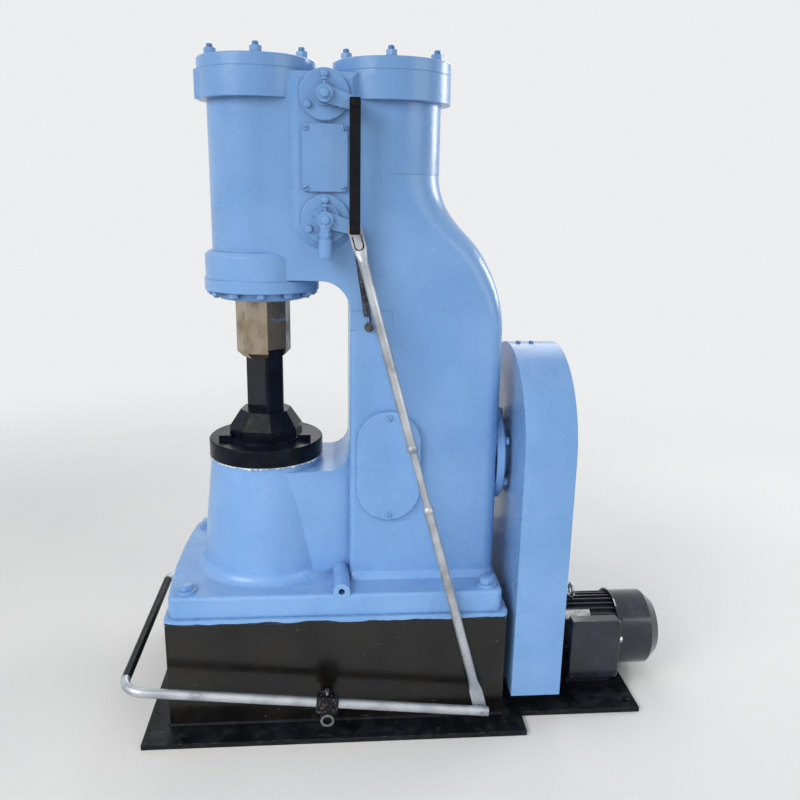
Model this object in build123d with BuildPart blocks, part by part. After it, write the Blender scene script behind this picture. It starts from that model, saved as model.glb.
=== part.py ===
"""Pneumatic forging hammer: a cast C-frame on a welded base box, with dies, treadle and belt drive."""
import os
from math import atan2, cos, degrees, radians, sin, sqrt

from build123d import *

# The ram axis is the Z axis and the floor is z = 0. +X runs from the ram to the motor, -Y is the valve side.
# Lengths are in millimetres, angles in degrees.

# General
overrun = 5.0
slip = 0.3
pin_play = 0.05

# Base
plate_thickness = 12.0
plate_front_ledge = 49.0
plate_rear_ledge = 43.0
plate_side_ledge = 63.0
motor_plate_length = 288.0
motor_plate_width = 430.0
box_front_ledge = 11.0
box_rear_ledge = 12.0
box_side_ledge = 9.0
box_height = 263.0
box_wall = 10.0
deck_thickness = 12.0
deck_lip = 3.0
deck_corner = 14.0

# Foot of the casting
foot_front = 205.0
foot_rear_step = 7.0
foot_width = 424.0
foot_height = 50.0
foot_bow = 12.0
foot_corner = 20.0
foot_edge = 7.0
boss_radius = 24.0
boss_height = 6.0
boss_inset = 34.0
lug_x = 174.0
lug_radius = 19.0
lug_hole_radius = 7.0
lug_hole_depth = 60.0

# Pedestal, anvil block and lower die
pedestal_height = 268.0
pedestal_top_radius = 127.0
pedestal_foot_radius = 155.0
pedestal_fillet = 24.0
anvil_radius = 131.0
anvil_thickness = 39.0
anvil_edge = 3.0
anvil_pad_radius = 88.0
anvil_pad_height = 5.0
cheek_length = 30.0
cheek_width = 34.0
cheek_height = 12.0
cheek_reach = 104.0
cheek_offset = 28.0
die_length = 96.0
die_width = 46.0
die_corner = 5.0
die_angle = -55.0
lower_die_height = 61.0
lower_die_foot = 22.0
lower_die_radius = 84.0
lower_die_top_radius = 58.0

# Column
saddle_height = 252.0
saddle_front_half_width = 126.0
saddle_rear_half_width = 98.0
saddle_fillet = 48.0
throat_depth = 193.0
throat_edge = 12.0
column_rear = 530.0
column_foot_half_width = 130.0
column_flare = 14.0
column_shoulder_height = 575.0
column_half_width = 117.0
column_rear_edge = 30.0
shoulder_height = 325.0
shoulder_lower_radius = 295.0
neck_inset = 1.0
neck_flat = 1.0
shoulder_shares = (0, 0.07, 0.16, 0.27, 0.4, 0.55, 0.7, 0.8, 0.9, 0.96, 1)

# Cylinders, heights counted from the top of the pedestal
throat_height = 383.0
compressor_x = 284.0
cylinder_radius = 106.0
cylinder_length = 449.0
bore_radius = 66.0
skirt_height = 25.0
skirt_radius = 126.0
band_height = 59.0
band_radius = 123.0
band_edge = 9.0
head_height = 57.0
head_lobe_radius = 14.0
head_lobe_angle = 196.0
cover_thickness = 25.0
ram_cover_radius = 124.0
compressor_cover_radius = 126.0
cover_edge = 3.0

# Valve chest
chest_half_width = 118.0
chest_drop = 6.0
chest_pad_radius = 68.0
chest_draft = 45.0
arch_lift = 28.0
arch_fillet = 62.0
valve_x = 142.0
upper_valve_rise = 398.0
lower_valve_rise = 156.0
valve_cover_radius = 50.0
valve_cover_thickness = 8.0
valve_cover_edge = 2.0
valve_boss_radius = 22.0
valve_boss_height = 4.0
spindle_radius = 9.0
chest_plate_width = 92.0
chest_plate_height = 132.0
chest_plate_thickness = 5.0
chest_plate_corner = 6.0

# Inspection cover
inspection_x = 280.0
inspection_rise = 270.0
inspection_width = 143.0
inspection_height = 254.0
inspection_thickness = 7.0
inspection_seat = 2.0
inspection_edge = 2.0

# Ram and upper die
guide_ring_radius = 99.0
guide_ring_thickness = 19.0
guide_ring_edge = 3.0
guide_play = 0.6
ram_radius = 61.0
ram_sides = 8
ram_length = 430.0
ram_edge = 13.0
upper_die_height = 124.0
slot_mouth = 36.0
slot_root = 44.0
slot_depth = 22.0
key_width = 9.0

# Crankshaft bearing
crank_rise = 263.0
bearing_flange_radius = 112.0
bearing_flange_thickness = 20.0
bearing_boss_radius = 64.0
bearing_boss_length = 16.0
bearing_edge = 3.0

# Belt guard
guard_depth = 114.0
guard_half_width = 222.0
guard_bottom = 60.0
guard_arch_rise = 42.0
guard_sheet = 3.0

# Motor
motor_gap = 4.0
motor_y = -15.0
motor_shaft_height = 100.0
motor_core_radius = 78.0
motor_fin_radius = 89.0
motor_fin_width = 3.6
motor_fin_count = 36
motor_frame_length = 152.0
shield_length = 28.0
shield_radius = 84.0
shield_boss_radius = 40.0
shield_boss_length = 8.0
cowl_length = 110.0
cowl_end_radius = 70.0
cowl_end_length = 24.0
cowl_lap = 6.0
cowl_lip = 5.0
cowl_sheet = 2.0
cowl_slot_count = 16
cowl_slot_length = 34.0
cowl_slot_width = 7.0
cowl_slot_circle = 44.0
motor_foot_length = 110.0
motor_foot_width = 38.0
motor_foot_span = 140.0
motor_foot_thickness = 12.0
motor_foot_web = 14.0
terminal_width = 118.0
terminal_height = 150.0
terminal_face = 140.0
terminal_corner = 6.0
terminal_edge = 4.0
terminal_rise = 8.0
terminal_seat_height = 90.0
terminal_lid = 9.0
terminal_lid_rim = 2.5
eye_ring_radius = 14.0
eye_wire_radius = 4.0
eye_collar_radius = 10.0
eye_collar_height = 5.0
eye_x_share = 0.3

# Treadle
treadle_pivot_x = 141.0
treadle_pipe_z = 98.5
treadle_slope = 5.83
treadle_front = 443.0
treadle_rear = 346.0
treadle_end = 16.0
treadle_tail = 40.0
treadle_bend = 46.0
pipe_radius = 10.5
clamp_length = 48.0
clamp_width = 32.0
clamp_height = 40.0
clamp_edge = 3.0
clamp_drop = 33.0
bush_radius = 16.0
bush_length = 34.0
pivot_radius = 9.0
pivot_collar_radius = 16.0
pivot_collar_length = 10.0
pivot_recess = 5.0

# Valve levers, link bar and pull rod
lever_arm_x = 60.0
lever_arm_drop = 17.5
lever_hub_radius = 17.0
lever_hub_length = 18.0
lever_end_radius = 13.0
lever_thickness = 8.0
lever_gap = 2.0
lever_pin_radius = 6.0
layer_gap = 1.0
rod_flat_thickness = 6.0
rod_flat_width = 29.0
rod_flat_length = 42.0
rod_taper_length = 26.0
rod_pin_radius = 5.0
rod_pin_clearance = 2.3
rod_side_gap = 3.0
rod_deck_gap = 15.75
rod_pin_end = 3.0
rod_pin_recess = 5.0
splice_radius = 8.5
rod_bead_radius = 12.5
rod_bead_shares = (0.43, 0.57)
link_width = 22.0
link_thickness = 7.0
link_corner = 3.0
stub_neck_radius = 11.0
stub_neck_length = 22.0
stub_radius = 14.0
stub_length = 38.0

# Return spring
spring_pin_x = 233.0
spring_pin_fall = 65.0
spring_pin_radius = 5.0
spring_pin_head_radius = 10.0
spring_pin_head_length = 4.0
spring_pin_length = 22.0
spring_pad_height = 3.0
spring_gap = 5.0
spring_pin_reach = 10.0
spring_radius = 7.5
spring_hook = 22.0
spring_wire_radius = 1.6

# Levels and places that follow from the sizes above
foot_half = foot_width / 2
foot_rear = column_rear + foot_rear_step
box_half = foot_half + box_side_ledge
box_front = foot_front + box_front_ledge
box_rear = foot_rear + box_rear_ledge
box_length = box_rear + box_front
wall_half = box_half - deck_lip
plate_front = box_front + plate_front_ledge
plate_rear = box_rear + plate_rear_ledge
deck_z = plate_thickness + box_height
foot_z = deck_z + foot_height
pedestal_z = foot_z + pedestal_height
anvil_z = pedestal_z + anvil_thickness
lower_die_z = anvil_z + anvil_pad_height
die_face_z = lower_die_z + lower_die_height
ram_z = die_face_z + upper_die_height
skirt_z = pedestal_z + throat_height
band_z = skirt_z + skirt_height
cover_z = skirt_z + cylinder_length
head_z = cover_z - head_height
web_z = cover_z - chest_drop
arch_z = skirt_z + arch_lift
saddle_z = foot_z + saddle_height
lug_z = foot_z + lug_hole_radius
shoulder_z = foot_z + column_shoulder_height
guide_ring_z = skirt_z - guide_ring_thickness
upper_valve_z = skirt_z + upper_valve_rise
lower_valve_z = skirt_z + lower_valve_rise
inspection_z = foot_z + inspection_rise
crank_z = foot_z + crank_rise
neck_half_width = cylinder_radius - neck_inset
neck_rear = compressor_x + neck_half_width
guard_x = column_rear + bearing_flange_thickness + bearing_boss_length
guard_arch_z = crank_z + guard_arch_rise
shield_x = guard_x + guard_depth + motor_gap
motor_x = shield_x + shield_length
motor_z = plate_thickness + motor_shaft_height
motor_middle_x = motor_x + motor_frame_length / 2
cowl_x = motor_x + motor_frame_length - cowl_lap
cowl_radius = motor_fin_radius + slip + cowl_sheet
terminal_seat = motor_fin_radius - motor_y + slip
terminal_z = motor_z + terminal_rise
eye_x = motor_x + motor_frame_length * eye_x_share
eye_seat_z = motor_z + motor_fin_radius + slip
treadle_pivot_z = treadle_pipe_z - clamp_drop
cover_face = chest_half_width + valve_cover_thickness
lever_face = cover_face + valve_boss_height + lever_gap
rod_face = lever_face + lever_thickness + layer_gap
link_face = rod_face + rod_flat_thickness + layer_gap
rod_top_y = rod_face + rod_flat_thickness / 2
rod_top_z = lower_valve_z - lever_arm_drop
rod_foot_z = treadle_pipe_z - treadle_rear * sin(radians(treadle_slope))
deck_y = box_half + rod_deck_gap
rod_foot_y = rod_top_y + (deck_y - rod_top_y) * (rod_top_z - rod_foot_z) / (rod_top_z - deck_z)
treadle_half_width = rod_foot_y + rod_flat_thickness / 2 + rod_side_gap + pipe_radius
stub_y = lever_face + lever_hub_length / 2
spring_pin_z = skirt_z - spring_pin_fall
spring_pad_face = column_half_width + spring_pad_height
spring_y = lever_face - spring_gap
die_direction = Vector(1, 0, 0).rotate(Axis.Z, die_angle)
die_across = Vector(0, 1, 0).rotate(Axis.Z, die_angle)


def half_width_at(level):
    """Half of the column's width at a height: its sides lean in from the foot to the shoulder."""
    share = (level - foot_z) / (shoulder_z - foot_z)
    return column_foot_half_width + (column_half_width - column_foot_half_width) * share


inspection_face = half_width_at(inspection_z - inspection_height / 2) + inspection_seat

os.makedirs("parts", exist_ok=True)

# Base plate, motor plate, base box and its deck plate
with BuildPart() as base_plate:
    with BuildSketch():
        with Locations(((plate_rear - plate_front) / 2, 0)):
            Rectangle(plate_rear + plate_front, 2 * (box_half + plate_side_ledge))
    extrude(amount=plate_thickness)
base_plate.part.label = "base_plate"
export_step(base_plate.part, "parts/base_plate.step")

with BuildPart() as motor_plate:
    with BuildSketch():
        with Locations((plate_rear + motor_plate_length / 2, 0)):
            Rectangle(motor_plate_length, motor_plate_width)
    extrude(amount=plate_thickness)
motor_plate.part.label = "motor_plate"
export_step(motor_plate.part, "parts/motor_plate.step")

box_middle = (box_rear - box_front) / 2
with BuildPart() as base_box:
    with BuildSketch(Plane.XY.offset(plate_thickness)):
        with Locations((box_middle, 0)):
            Rectangle(box_length - 2 * deck_lip, 2 * wall_half)
    extrude(amount=box_height - deck_thickness)
    with BuildSketch(Plane.XY.offset(plate_thickness)):
        with Locations((box_middle, 0)):
            Rectangle(box_length - 2 * (deck_lip + box_wall), 2 * (wall_half - box_wall))
    extrude(amount=box_height - deck_thickness - box_wall, mode=Mode.SUBTRACT)
base_box.part.label = "base_box"
export_step(base_box.part, "parts/base_box.step")

with BuildPart() as deck_plate:
    with BuildSketch(Plane.XY.offset(deck_z - deck_thickness)):
        with Locations((box_middle, 0)):
            RectangleRounded(box_length, 2 * box_half, deck_corner)
    extrude(amount=deck_thickness)
deck_plate.part.label = "deck_plate"
export_step(deck_plate.part, "parts/deck_plate.step")

# Frame casting
# The shoulder is an S-curve of two tangent arcs, from the column's rear wall up to the compressor cylinder.
shoulder_turn = 2 * degrees(atan2(column_rear - neck_rear, shoulder_height))
shoulder_radii_sum = shoulder_height / sin(radians(shoulder_turn))
shoulder_upper_radius = shoulder_radii_sum - shoulder_lower_radius
neck_z = shoulder_z + shoulder_height


def shoulder_section(share):
    """Level, rear, half width and rear corner of the section at a share of the way up the shoulder."""
    rise = share * shoulder_height
    fall = shoulder_height - rise
    if rise <= shoulder_lower_radius * sin(radians(shoulder_turn)):
        rear = column_rear - shoulder_lower_radius + sqrt(shoulder_lower_radius**2 - rise**2)
    else:
        rear = neck_rear + shoulder_upper_radius - sqrt(shoulder_upper_radius**2 - fall**2)
    half_width = column_half_width + (neck_half_width - column_half_width) * share
    rear_corner = column_rear_edge + (neck_half_width - neck_flat - column_rear_edge) * share
    return shoulder_z + rise, rear, half_width, rear_corner


flare_z = foot_z + column_flare
shaft_sections = [
    (foot_z, column_rear, column_foot_half_width + column_flare, column_rear_edge),
    (flare_z, column_rear, half_width_at(flare_z), column_rear_edge),
    (shoulder_z, column_rear, column_half_width, column_rear_edge),
]
shoulder_sections = [shoulder_section(share) for share in shoulder_shares]

with BuildPart() as frame_casting:
    # Foot flange with its corner bosses
    with BuildSketch(Plane.XY.offset(deck_z)) as foot_outline:
        with BuildLine():
            Polyline(
                (-foot_front, foot_half),
                (foot_rear, foot_half),
                (foot_rear, -foot_half),
                (-foot_front, -foot_half),
            )
            ThreePointArc((-foot_front, -foot_half), (-foot_front - foot_bow, 0), (-foot_front, foot_half))
        make_face()
        fillet(foot_outline.vertices(), foot_corner)
    extrude(amount=foot_height)
    fillet(frame_casting.faces().sort_by(Axis.Z)[-1].edges(), foot_edge)
    with BuildSketch(Plane.XY.offset(deck_z)):
        with Locations(((foot_rear - foot_front) / 2, 0)):
            with GridLocations(foot_rear + foot_front - 2 * boss_inset, foot_width - 2 * boss_inset, 2, 2):
                Circle(boss_radius)
    extrude(amount=foot_height + boss_height)
    # Saddle behind the pedestal, and the web between the two cylinders
    saddle_top = saddle_z + saddle_fillet
    web_foot = arch_z - arch_fillet
    for lower, upper, front, rears in (
        (deck_z, saddle_top, saddle_front_half_width, (saddle_rear_half_width, saddle_rear_half_width)),
        (web_foot, shoulder_z, neck_half_width, (column_half_width, column_half_width)),
        (shoulder_z, neck_z, neck_half_width, (column_half_width, neck_half_width)),
        (neck_z, web_z, neck_half_width, (neck_half_width, neck_half_width)),
    ):
        for level, rear in zip((lower, upper), rears):
            with BuildSketch(Plane.XY.offset(level)):
                with BuildLine():
                    Polyline(
                        (0, -front),
                        (throat_depth, -rear),
                        (compressor_x, -rear),
                        (compressor_x, rear),
                        (throat_depth, rear),
                        (0, front),
                        close=True,
                    )
                make_face()
        loft(ruled=True)
    # Throat, rounded into the saddle below and the arch above
    with BuildSketch(Plane.XZ) as throat_outline:
        with BuildLine():
            Polyline(
                (-overrun, saddle_z),
                (throat_depth, saddle_z),
                (throat_depth, arch_z),
                (-overrun, arch_z),
                close=True,
            )
        make_face()
        inner_corners = throat_outline.vertices().group_by(Axis.X)[-1].sort_by(Axis.Y)
        fillet(inner_corners[0], saddle_fillet)
        inner_corners = throat_outline.vertices().group_by(Axis.X)[-1].sort_by(Axis.Y)
        fillet(inner_corners[-1], arch_fillet)
    extrude(amount=foot_half, both=True, mode=Mode.SUBTRACT)
    # Round pedestal under the anvil block
    with BuildSketch(Plane.XZ) as pedestal_profile:
        with BuildLine():
            Polyline(
                (0, deck_z),
                (pedestal_foot_radius + pedestal_fillet, deck_z),
                (pedestal_foot_radius + pedestal_fillet, foot_z),
                (pedestal_foot_radius, foot_z),
                (pedestal_top_radius, pedestal_z),
                (0, pedestal_z),
                close=True,
            )
        make_face()
        foot_corners = pedestal_profile.vertices().filter_by_position(Axis.Y, foot_z, foot_z)
        fillet(foot_corners.sort_by(Axis.X)[0], pedestal_fillet)
    revolve(axis=Axis.Z)
    # Column, with its flared foot, leaning sides and S-shaped shoulder
    for sections, straight in ((shaft_sections, True), (shoulder_sections, False)):
        for level, rear, half_width, rear_corner in sections:
            with BuildSketch(Plane.XY.offset(level)) as column_section:
                with Locations(((throat_depth + rear) / 2, 0)):
                    Rectangle(rear - throat_depth, 2 * half_width)
                fillet(column_section.vertices().group_by(Axis.X)[0], throat_edge)
                fillet(column_section.vertices().group_by(Axis.X)[-1], rear_corner)
        loft(ruled=straight)
    # Raised pads of the valve chest
    for side in (-1, 1):
        with BuildSketch(Plane.XZ.offset(side * neck_half_width)):
            with Locations((valve_x, lower_valve_z)):
                Circle(chest_pad_radius)
            with Locations((valve_x, (lower_valve_z + web_z) / 2)):
                Rectangle(2 * chest_pad_radius, web_z - lower_valve_z)
        extrude(amount=side * (chest_half_width - neck_half_width), taper=chest_draft)
    # Cylinders with their heads, and the band and skirt under the ram cylinder
    with BuildSketch(Plane.XY.offset(neck_z)):
        with Locations((compressor_x, 0)):
            Circle(cylinder_radius)
    extrude(amount=cover_z - neck_z)
    with BuildSketch(Plane.XZ):
        with BuildLine():
            Polyline(
                (0, skirt_z),
                (skirt_radius, skirt_z),
                (skirt_radius, band_z),
                (band_radius, band_z),
                (band_radius, band_z + band_height - band_edge),
                (band_radius - band_edge, band_z + band_height),
                (cylinder_radius, band_z + band_height),
                (cylinder_radius, head_z),
                (ram_cover_radius, head_z),
                (ram_cover_radius, cover_z),
                (0, cover_z),
                close=True,
            )
        make_face()
    revolve(axis=Axis.Z)
    with BuildSketch(Plane.XY.offset(head_z)):
        with Locations((compressor_x, 0)):
            Circle(compressor_cover_radius)
        with PolarLocations(ram_cover_radius - head_lobe_radius / 2, 1, head_lobe_angle):
            Circle(head_lobe_radius)
    extrude(amount=head_height)
    # Lifting lugs, seats for the inspection covers and the pad of the spring pin
    for side in (-1, 1):
        with BuildSketch(Plane.XZ.offset(side * foot_half)):
            with Locations((lug_x, lug_z)):
                Circle(lug_radius)
            with Locations((lug_x, (foot_z - foot_edge + lug_z) / 2)):
                Rectangle(2 * lug_radius, lug_z - foot_z + foot_edge)
        extrude(amount=-side * foot_half)
        with BuildSketch(Plane.XZ.offset(side * inspection_face)):
            with Locations((inspection_x, inspection_z)):
                SlotOverall(inspection_height, inspection_width, rotation=90)
        extrude(amount=-side * inspection_face)
        with BuildSketch(Plane.XZ.offset(side * foot_half)):
            with Locations((lug_x, lug_z)):
                Circle(lug_hole_radius)
        extrude(amount=-side * lug_hole_depth, mode=Mode.SUBTRACT)
    with BuildSketch(Plane.XZ.offset(spring_pad_face)):
        with Locations((spring_pin_x, spring_pin_z)):
            Circle(spring_pin_head_radius)
    extrude(amount=-column_half_width)
    # Bore of the ram cylinder
    with BuildSketch(Plane.XY.offset(skirt_z)):
        Circle(bore_radius)
    extrude(amount=cylinder_length, mode=Mode.SUBTRACT)
frame_casting.part.label = "frame_casting"
export_step(frame_casting.part, "parts/frame_casting.step")

# Cylinder covers
for label, cover_x, cover_radius in (
    ("ram_cylinder_cover", 0, ram_cover_radius),
    ("compressor_cover", compressor_x, compressor_cover_radius),
):
    with BuildPart() as cylinder_cover:
        with BuildSketch(Plane.XY.offset(cover_z)):
            with Locations((cover_x, 0)):
                Circle(cover_radius)
        extrude(amount=cover_thickness)
        chamfer(cylinder_cover.edges().group_by(Axis.Z)[-1], cover_edge)
    cylinder_cover.part.label = label
    export_step(cylinder_cover.part, f"parts/{label}.step")

# Valve covers: the near pair carries the spindles
for label, level, side in (
    ("upper_valve_cover", upper_valve_z, 1),
    ("lower_valve_cover", lower_valve_z, 1),
    ("upper_valve_cover_far", upper_valve_z, -1),
    ("lower_valve_cover_far", lower_valve_z, -1),
):
    with BuildPart() as valve_cover:
        with BuildSketch(Plane.XZ.offset(side * chest_half_width)):
            with Locations((valve_x, level)):
                Circle(valve_cover_radius)
        extrude(amount=side * valve_cover_thickness)
        chamfer(valve_cover.edges().group_by(Axis.Y)[-1 if side < 0 else 0], valve_cover_edge)
        with BuildSketch(Plane.XZ.offset(side * cover_face)):
            with Locations((valve_x, level)):
                Circle(valve_boss_radius)
        extrude(amount=side * valve_boss_height)
        if side > 0:
            with BuildSketch(Plane.XZ.offset(chest_half_width)):
                with Locations((valve_x, level)):
                    Circle(spindle_radius + pin_play)
            extrude(amount=valve_cover_thickness + valve_boss_height, mode=Mode.SUBTRACT)
    valve_cover.part.label = label
    export_step(valve_cover.part, f"parts/{label}.step")

# Chest plates and inspection covers
for label, side in (("valve_chest_plate", 1), ("valve_chest_plate_far", -1)):
    with BuildPart() as chest_plate:
        with BuildSketch(Plane.XZ.offset(side * chest_half_width)):
            with Locations((valve_x, (upper_valve_z + lower_valve_z) / 2)):
                RectangleRounded(chest_plate_width, chest_plate_height, chest_plate_corner)
        extrude(amount=side * chest_plate_thickness)
    chest_plate.part.label = label
    export_step(chest_plate.part, f"parts/{label}.step")

for label, side in (("inspection_cover", 1), ("inspection_cover_far", -1)):
    with BuildPart() as inspection_cover:
        with BuildSketch(Plane.XZ.offset(side * inspection_face)):
            with Locations((inspection_x, inspection_z)):
                SlotOverall(inspection_height, inspection_width, rotation=90)
        extrude(amount=side * inspection_thickness)
        chamfer(inspection_cover.edges().group_by(Axis.Y)[-1 if side < 0 else 0], inspection_edge)
    inspection_cover.part.label = label
    export_step(inspection_cover.part, f"parts/{label}.step")

# Ram guide ring
with BuildPart() as ram_guide_ring:
    with BuildSketch(Plane.XY.offset(guide_ring_z)):
        Circle(guide_ring_radius)
        Circle(ram_radius + guide_play, mode=Mode.SUBTRACT)
    extrude(amount=guide_ring_thickness)
    ring_edges = ram_guide_ring.edges().group_by(Axis.Z)[0]
    chamfer(ring_edges.sort_by(SortBy.RADIUS)[-1], guide_ring_edge)
ram_guide_ring.part.label = "ram_guide_ring"
export_step(ram_guide_ring.part, "parts/ram_guide_ring.step")

# Anvil block and lower die
with BuildPart() as anvil_block:
    with BuildSketch(Plane.XY.offset(pedestal_z)):
        Circle(anvil_radius)
    extrude(amount=anvil_thickness)
    chamfer(anvil_block.edges().group_by(Axis.Z)[-1], anvil_edge)
    with BuildSketch(Plane.XY.offset(anvil_z)):
        Circle(anvil_pad_radius)
    extrude(amount=anvil_pad_height)
    with BuildSketch(Plane.XY.offset(anvil_z)):
        for side in (-1, 1):
            with Locations((side * (cheek_reach - cheek_length / 2), -cheek_offset)):
                Rectangle(cheek_length, cheek_width)
    extrude(amount=cheek_height)
    with BuildSketch(Plane.XY.offset(lower_die_z)):
        Circle(lower_die_radius + slip)
    extrude(amount=cheek_height, mode=Mode.SUBTRACT)
anvil_block.part.label = "anvil_block"
export_step(anvil_block.part, "parts/anvil_block.step")

die_plane = Plane(origin=(0, 0, lower_die_z), x_dir=die_direction, z_dir=(0, 0, 1))
with BuildPart() as lower_die:
    with BuildSketch(die_plane):
        RegularPolygon(lower_die_radius, ram_sides, rotation=180 / ram_sides)
    extrude(amount=lower_die_foot)
    with BuildSketch(die_plane.offset(lower_die_foot)):
        RegularPolygon(lower_die_radius, ram_sides, rotation=180 / ram_sides)
    with BuildSketch(die_plane.offset(lower_die_height)):
        RegularPolygon(lower_die_top_radius, ram_sides, rotation=180 / ram_sides)
    loft(ruled=True)
lower_die.part.label = "lower_die"
export_step(lower_die.part, "parts/lower_die.step")

# Ram with the dovetail slot of the upper die
slot_plane = Plane(origin=(0, 0, ram_z), x_dir=die_across, z_dir=die_direction)
with BuildPart() as ram:
    with BuildSketch(Plane(origin=(0, 0, ram_z), x_dir=die_direction, z_dir=(0, 0, 1))):
        RegularPolygon(ram_radius, ram_sides, rotation=180 / ram_sides)
    extrude(amount=ram_length)
    chamfer(ram.edges().group_by(Axis.Z)[0], ram_edge)
    with BuildSketch(slot_plane):
        with BuildLine():
            Polyline(
                (-slot_mouth / 2, 0),
                (slot_mouth / 2, 0),
                (slot_root / 2, slot_depth),
                (-slot_root / 2, slot_depth),
                close=True,
            )
        make_face()
    extrude(amount=ram_radius + overrun, both=True, mode=Mode.SUBTRACT)
ram.part.label = "ram"
export_step(ram.part, "parts/ram.step")

key_x = slot_mouth / 2 - key_width
with BuildPart() as upper_die:
    with BuildSketch(die_plane.offset(lower_die_height)) as die_outline:
        Rectangle(die_length, die_width)
        chamfer(die_outline.vertices(), die_corner)
    extrude(amount=upper_die_height)
    with BuildSketch(slot_plane):
        with BuildLine():
            Polyline(
                (-slot_mouth / 2, 0),
                (key_x, 0),
                (key_x, slot_depth),
                (-slot_root / 2, slot_depth),
                close=True,
            )
        make_face()
    extrude(amount=die_length / 2, both=True)
upper_die.part.label = "upper_die"
export_step(upper_die.part, "parts/upper_die.step")

with BuildPart() as upper_die_key:
    with BuildSketch(slot_plane):
        with BuildLine():
            Polyline(
                (key_x, 0),
                (slot_mouth / 2, 0),
                (slot_root / 2, slot_depth),
                (key_x, slot_depth),
                close=True,
            )
        make_face()
    extrude(amount=die_length / 2, both=True)
upper_die_key.part.label = "upper_die_key"
export_step(upper_die_key.part, "parts/upper_die_key.step")

# Crankshaft bearing housing on the rear wall
with BuildPart() as bearing_housing:
    with BuildSketch(Plane.YZ.offset(column_rear)):
        with Locations((0, crank_z)):
            Circle(bearing_flange_radius)
    extrude(amount=bearing_flange_thickness)
    chamfer(bearing_housing.edges().group_by(Axis.X)[-1], bearing_edge)
    with BuildSketch(Plane.YZ.offset(column_rear + bearing_flange_thickness)):
        with Locations((0, crank_z)):
            Circle(bearing_boss_radius)
    extrude(amount=bearing_boss_length)
bearing_housing.part.label = "bearing_housing"
export_step(bearing_housing.part, "parts/bearing_housing.step")

# Belt guard: an arched sheet box, open at the bottom
with BuildPart() as belt_guard:
    for skin, mode in ((0, Mode.ADD), (guard_sheet, Mode.SUBTRACT)):
        low = guard_bottom - skin * overrun
        with BuildSketch(Plane.YZ.offset(guard_x + skin)):
            with Locations((0, (low + guard_arch_z) / 2)):
                Rectangle(2 * (guard_half_width - skin), guard_arch_z - low)
            with Locations((0, guard_arch_z)):
                Circle(guard_half_width - skin)
        extrude(amount=guard_depth - 2 * skin, mode=mode)
belt_guard.part.label = "belt_guard"
export_step(belt_guard.part, "parts/belt_guard.step")

# Motor
with BuildPart() as motor_front_shield:
    with BuildSketch(Plane.YZ.offset(shield_x)):
        with Locations((motor_y, motor_z)):
            Circle(shield_boss_radius)
    extrude(amount=shield_boss_length)
    with BuildSketch(Plane.YZ.offset(shield_x + shield_boss_length)):
        with Locations((motor_y, motor_z)):
            Circle(shield_radius)
    extrude(amount=shield_length - shield_boss_length)
motor_front_shield.part.label = "motor_front_shield"
export_step(motor_front_shield.part, "parts/motor_front_shield.step")

with BuildPart() as motor_frame:
    with BuildSketch(Plane.YZ.offset(motor_x)):
        with Locations((motor_y, motor_z)):
            Circle(motor_core_radius)
            with PolarLocations(motor_core_radius, motor_fin_count):
                Rectangle(2 * (motor_fin_radius - motor_core_radius), motor_fin_width)
    extrude(amount=motor_frame_length)
    with BuildSketch(Plane.YZ.offset(motor_middle_x - motor_foot_length / 2)):
        for side in (-1, 1):
            foot_y = motor_y + side * motor_foot_span / 2
            with Locations((foot_y, plate_thickness + motor_foot_thickness / 2)):
                Rectangle(motor_foot_width, motor_foot_thickness)
            web_y = motor_y + side * (motor_foot_span - motor_foot_width + motor_foot_web) / 2
            with Locations((web_y, (plate_thickness + motor_z) / 2)):
                Rectangle(motor_foot_web, motor_z - plate_thickness)
    extrude(amount=motor_foot_length)
    with BuildSketch(Plane.XZ.offset(terminal_seat)):
        with Locations((motor_middle_x, terminal_z)):
            Rectangle(terminal_width - 2 * terminal_corner, terminal_seat_height)
    extrude(amount=-motor_core_radius)
    with BuildSketch(Plane.XY.offset(eye_seat_z)):
        with Locations((eye_x, motor_y)):
            Circle(eye_collar_radius)
    extrude(amount=-motor_core_radius)
motor_frame.part.label = "motor_frame"
export_step(motor_frame.part, "parts/motor_frame.step")

cone_x = cowl_length - cowl_end_length
with BuildPart() as motor_fan_cowl:
    with BuildSketch(Plane(origin=(cowl_x, motor_y, motor_z), x_dir=(1, 0, 0), z_dir=(0, -1, 0))):
        with BuildLine():
            Polyline(
                (0, cowl_radius + cowl_lip),
                (cowl_lip, cowl_radius),
                (cone_x, cowl_radius),
                (cowl_length, cowl_end_radius),
                (cowl_length, 0),
                (cowl_length - cowl_sheet, 0),
                (cowl_length - cowl_sheet, cowl_end_radius - cowl_sheet),
                (cone_x - cowl_sheet, cowl_radius - cowl_sheet),
                (cowl_lip - cowl_sheet, cowl_radius - cowl_sheet),
                (0, cowl_radius + cowl_lip - 2 * cowl_sheet),
                close=True,
            )
        make_face()
    revolve(axis=Axis((cowl_x, motor_y, motor_z), (1, 0, 0)))
    with BuildSketch(Plane.YZ.offset(cowl_x + cowl_length - cowl_sheet)):
        with Locations((motor_y, motor_z)):
            with PolarLocations(cowl_slot_circle, cowl_slot_count):
                SlotOverall(cowl_slot_length, cowl_slot_width)
    extrude(amount=cowl_sheet, mode=Mode.SUBTRACT)
motor_fan_cowl.part.label = "motor_fan_cowl"
export_step(motor_fan_cowl.part, "parts/motor_fan_cowl.step")

with BuildPart() as motor_terminal_box:
    with BuildSketch(Plane.XZ.offset(terminal_seat)):
        with Locations((motor_middle_x, terminal_z)):
            RectangleRounded(terminal_width, terminal_height, terminal_corner)
    extrude(amount=terminal_face - terminal_lid - terminal_seat)
motor_terminal_box.part.label = "motor_terminal_box"
export_step(motor_terminal_box.part, "parts/motor_terminal_box.step")

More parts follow.
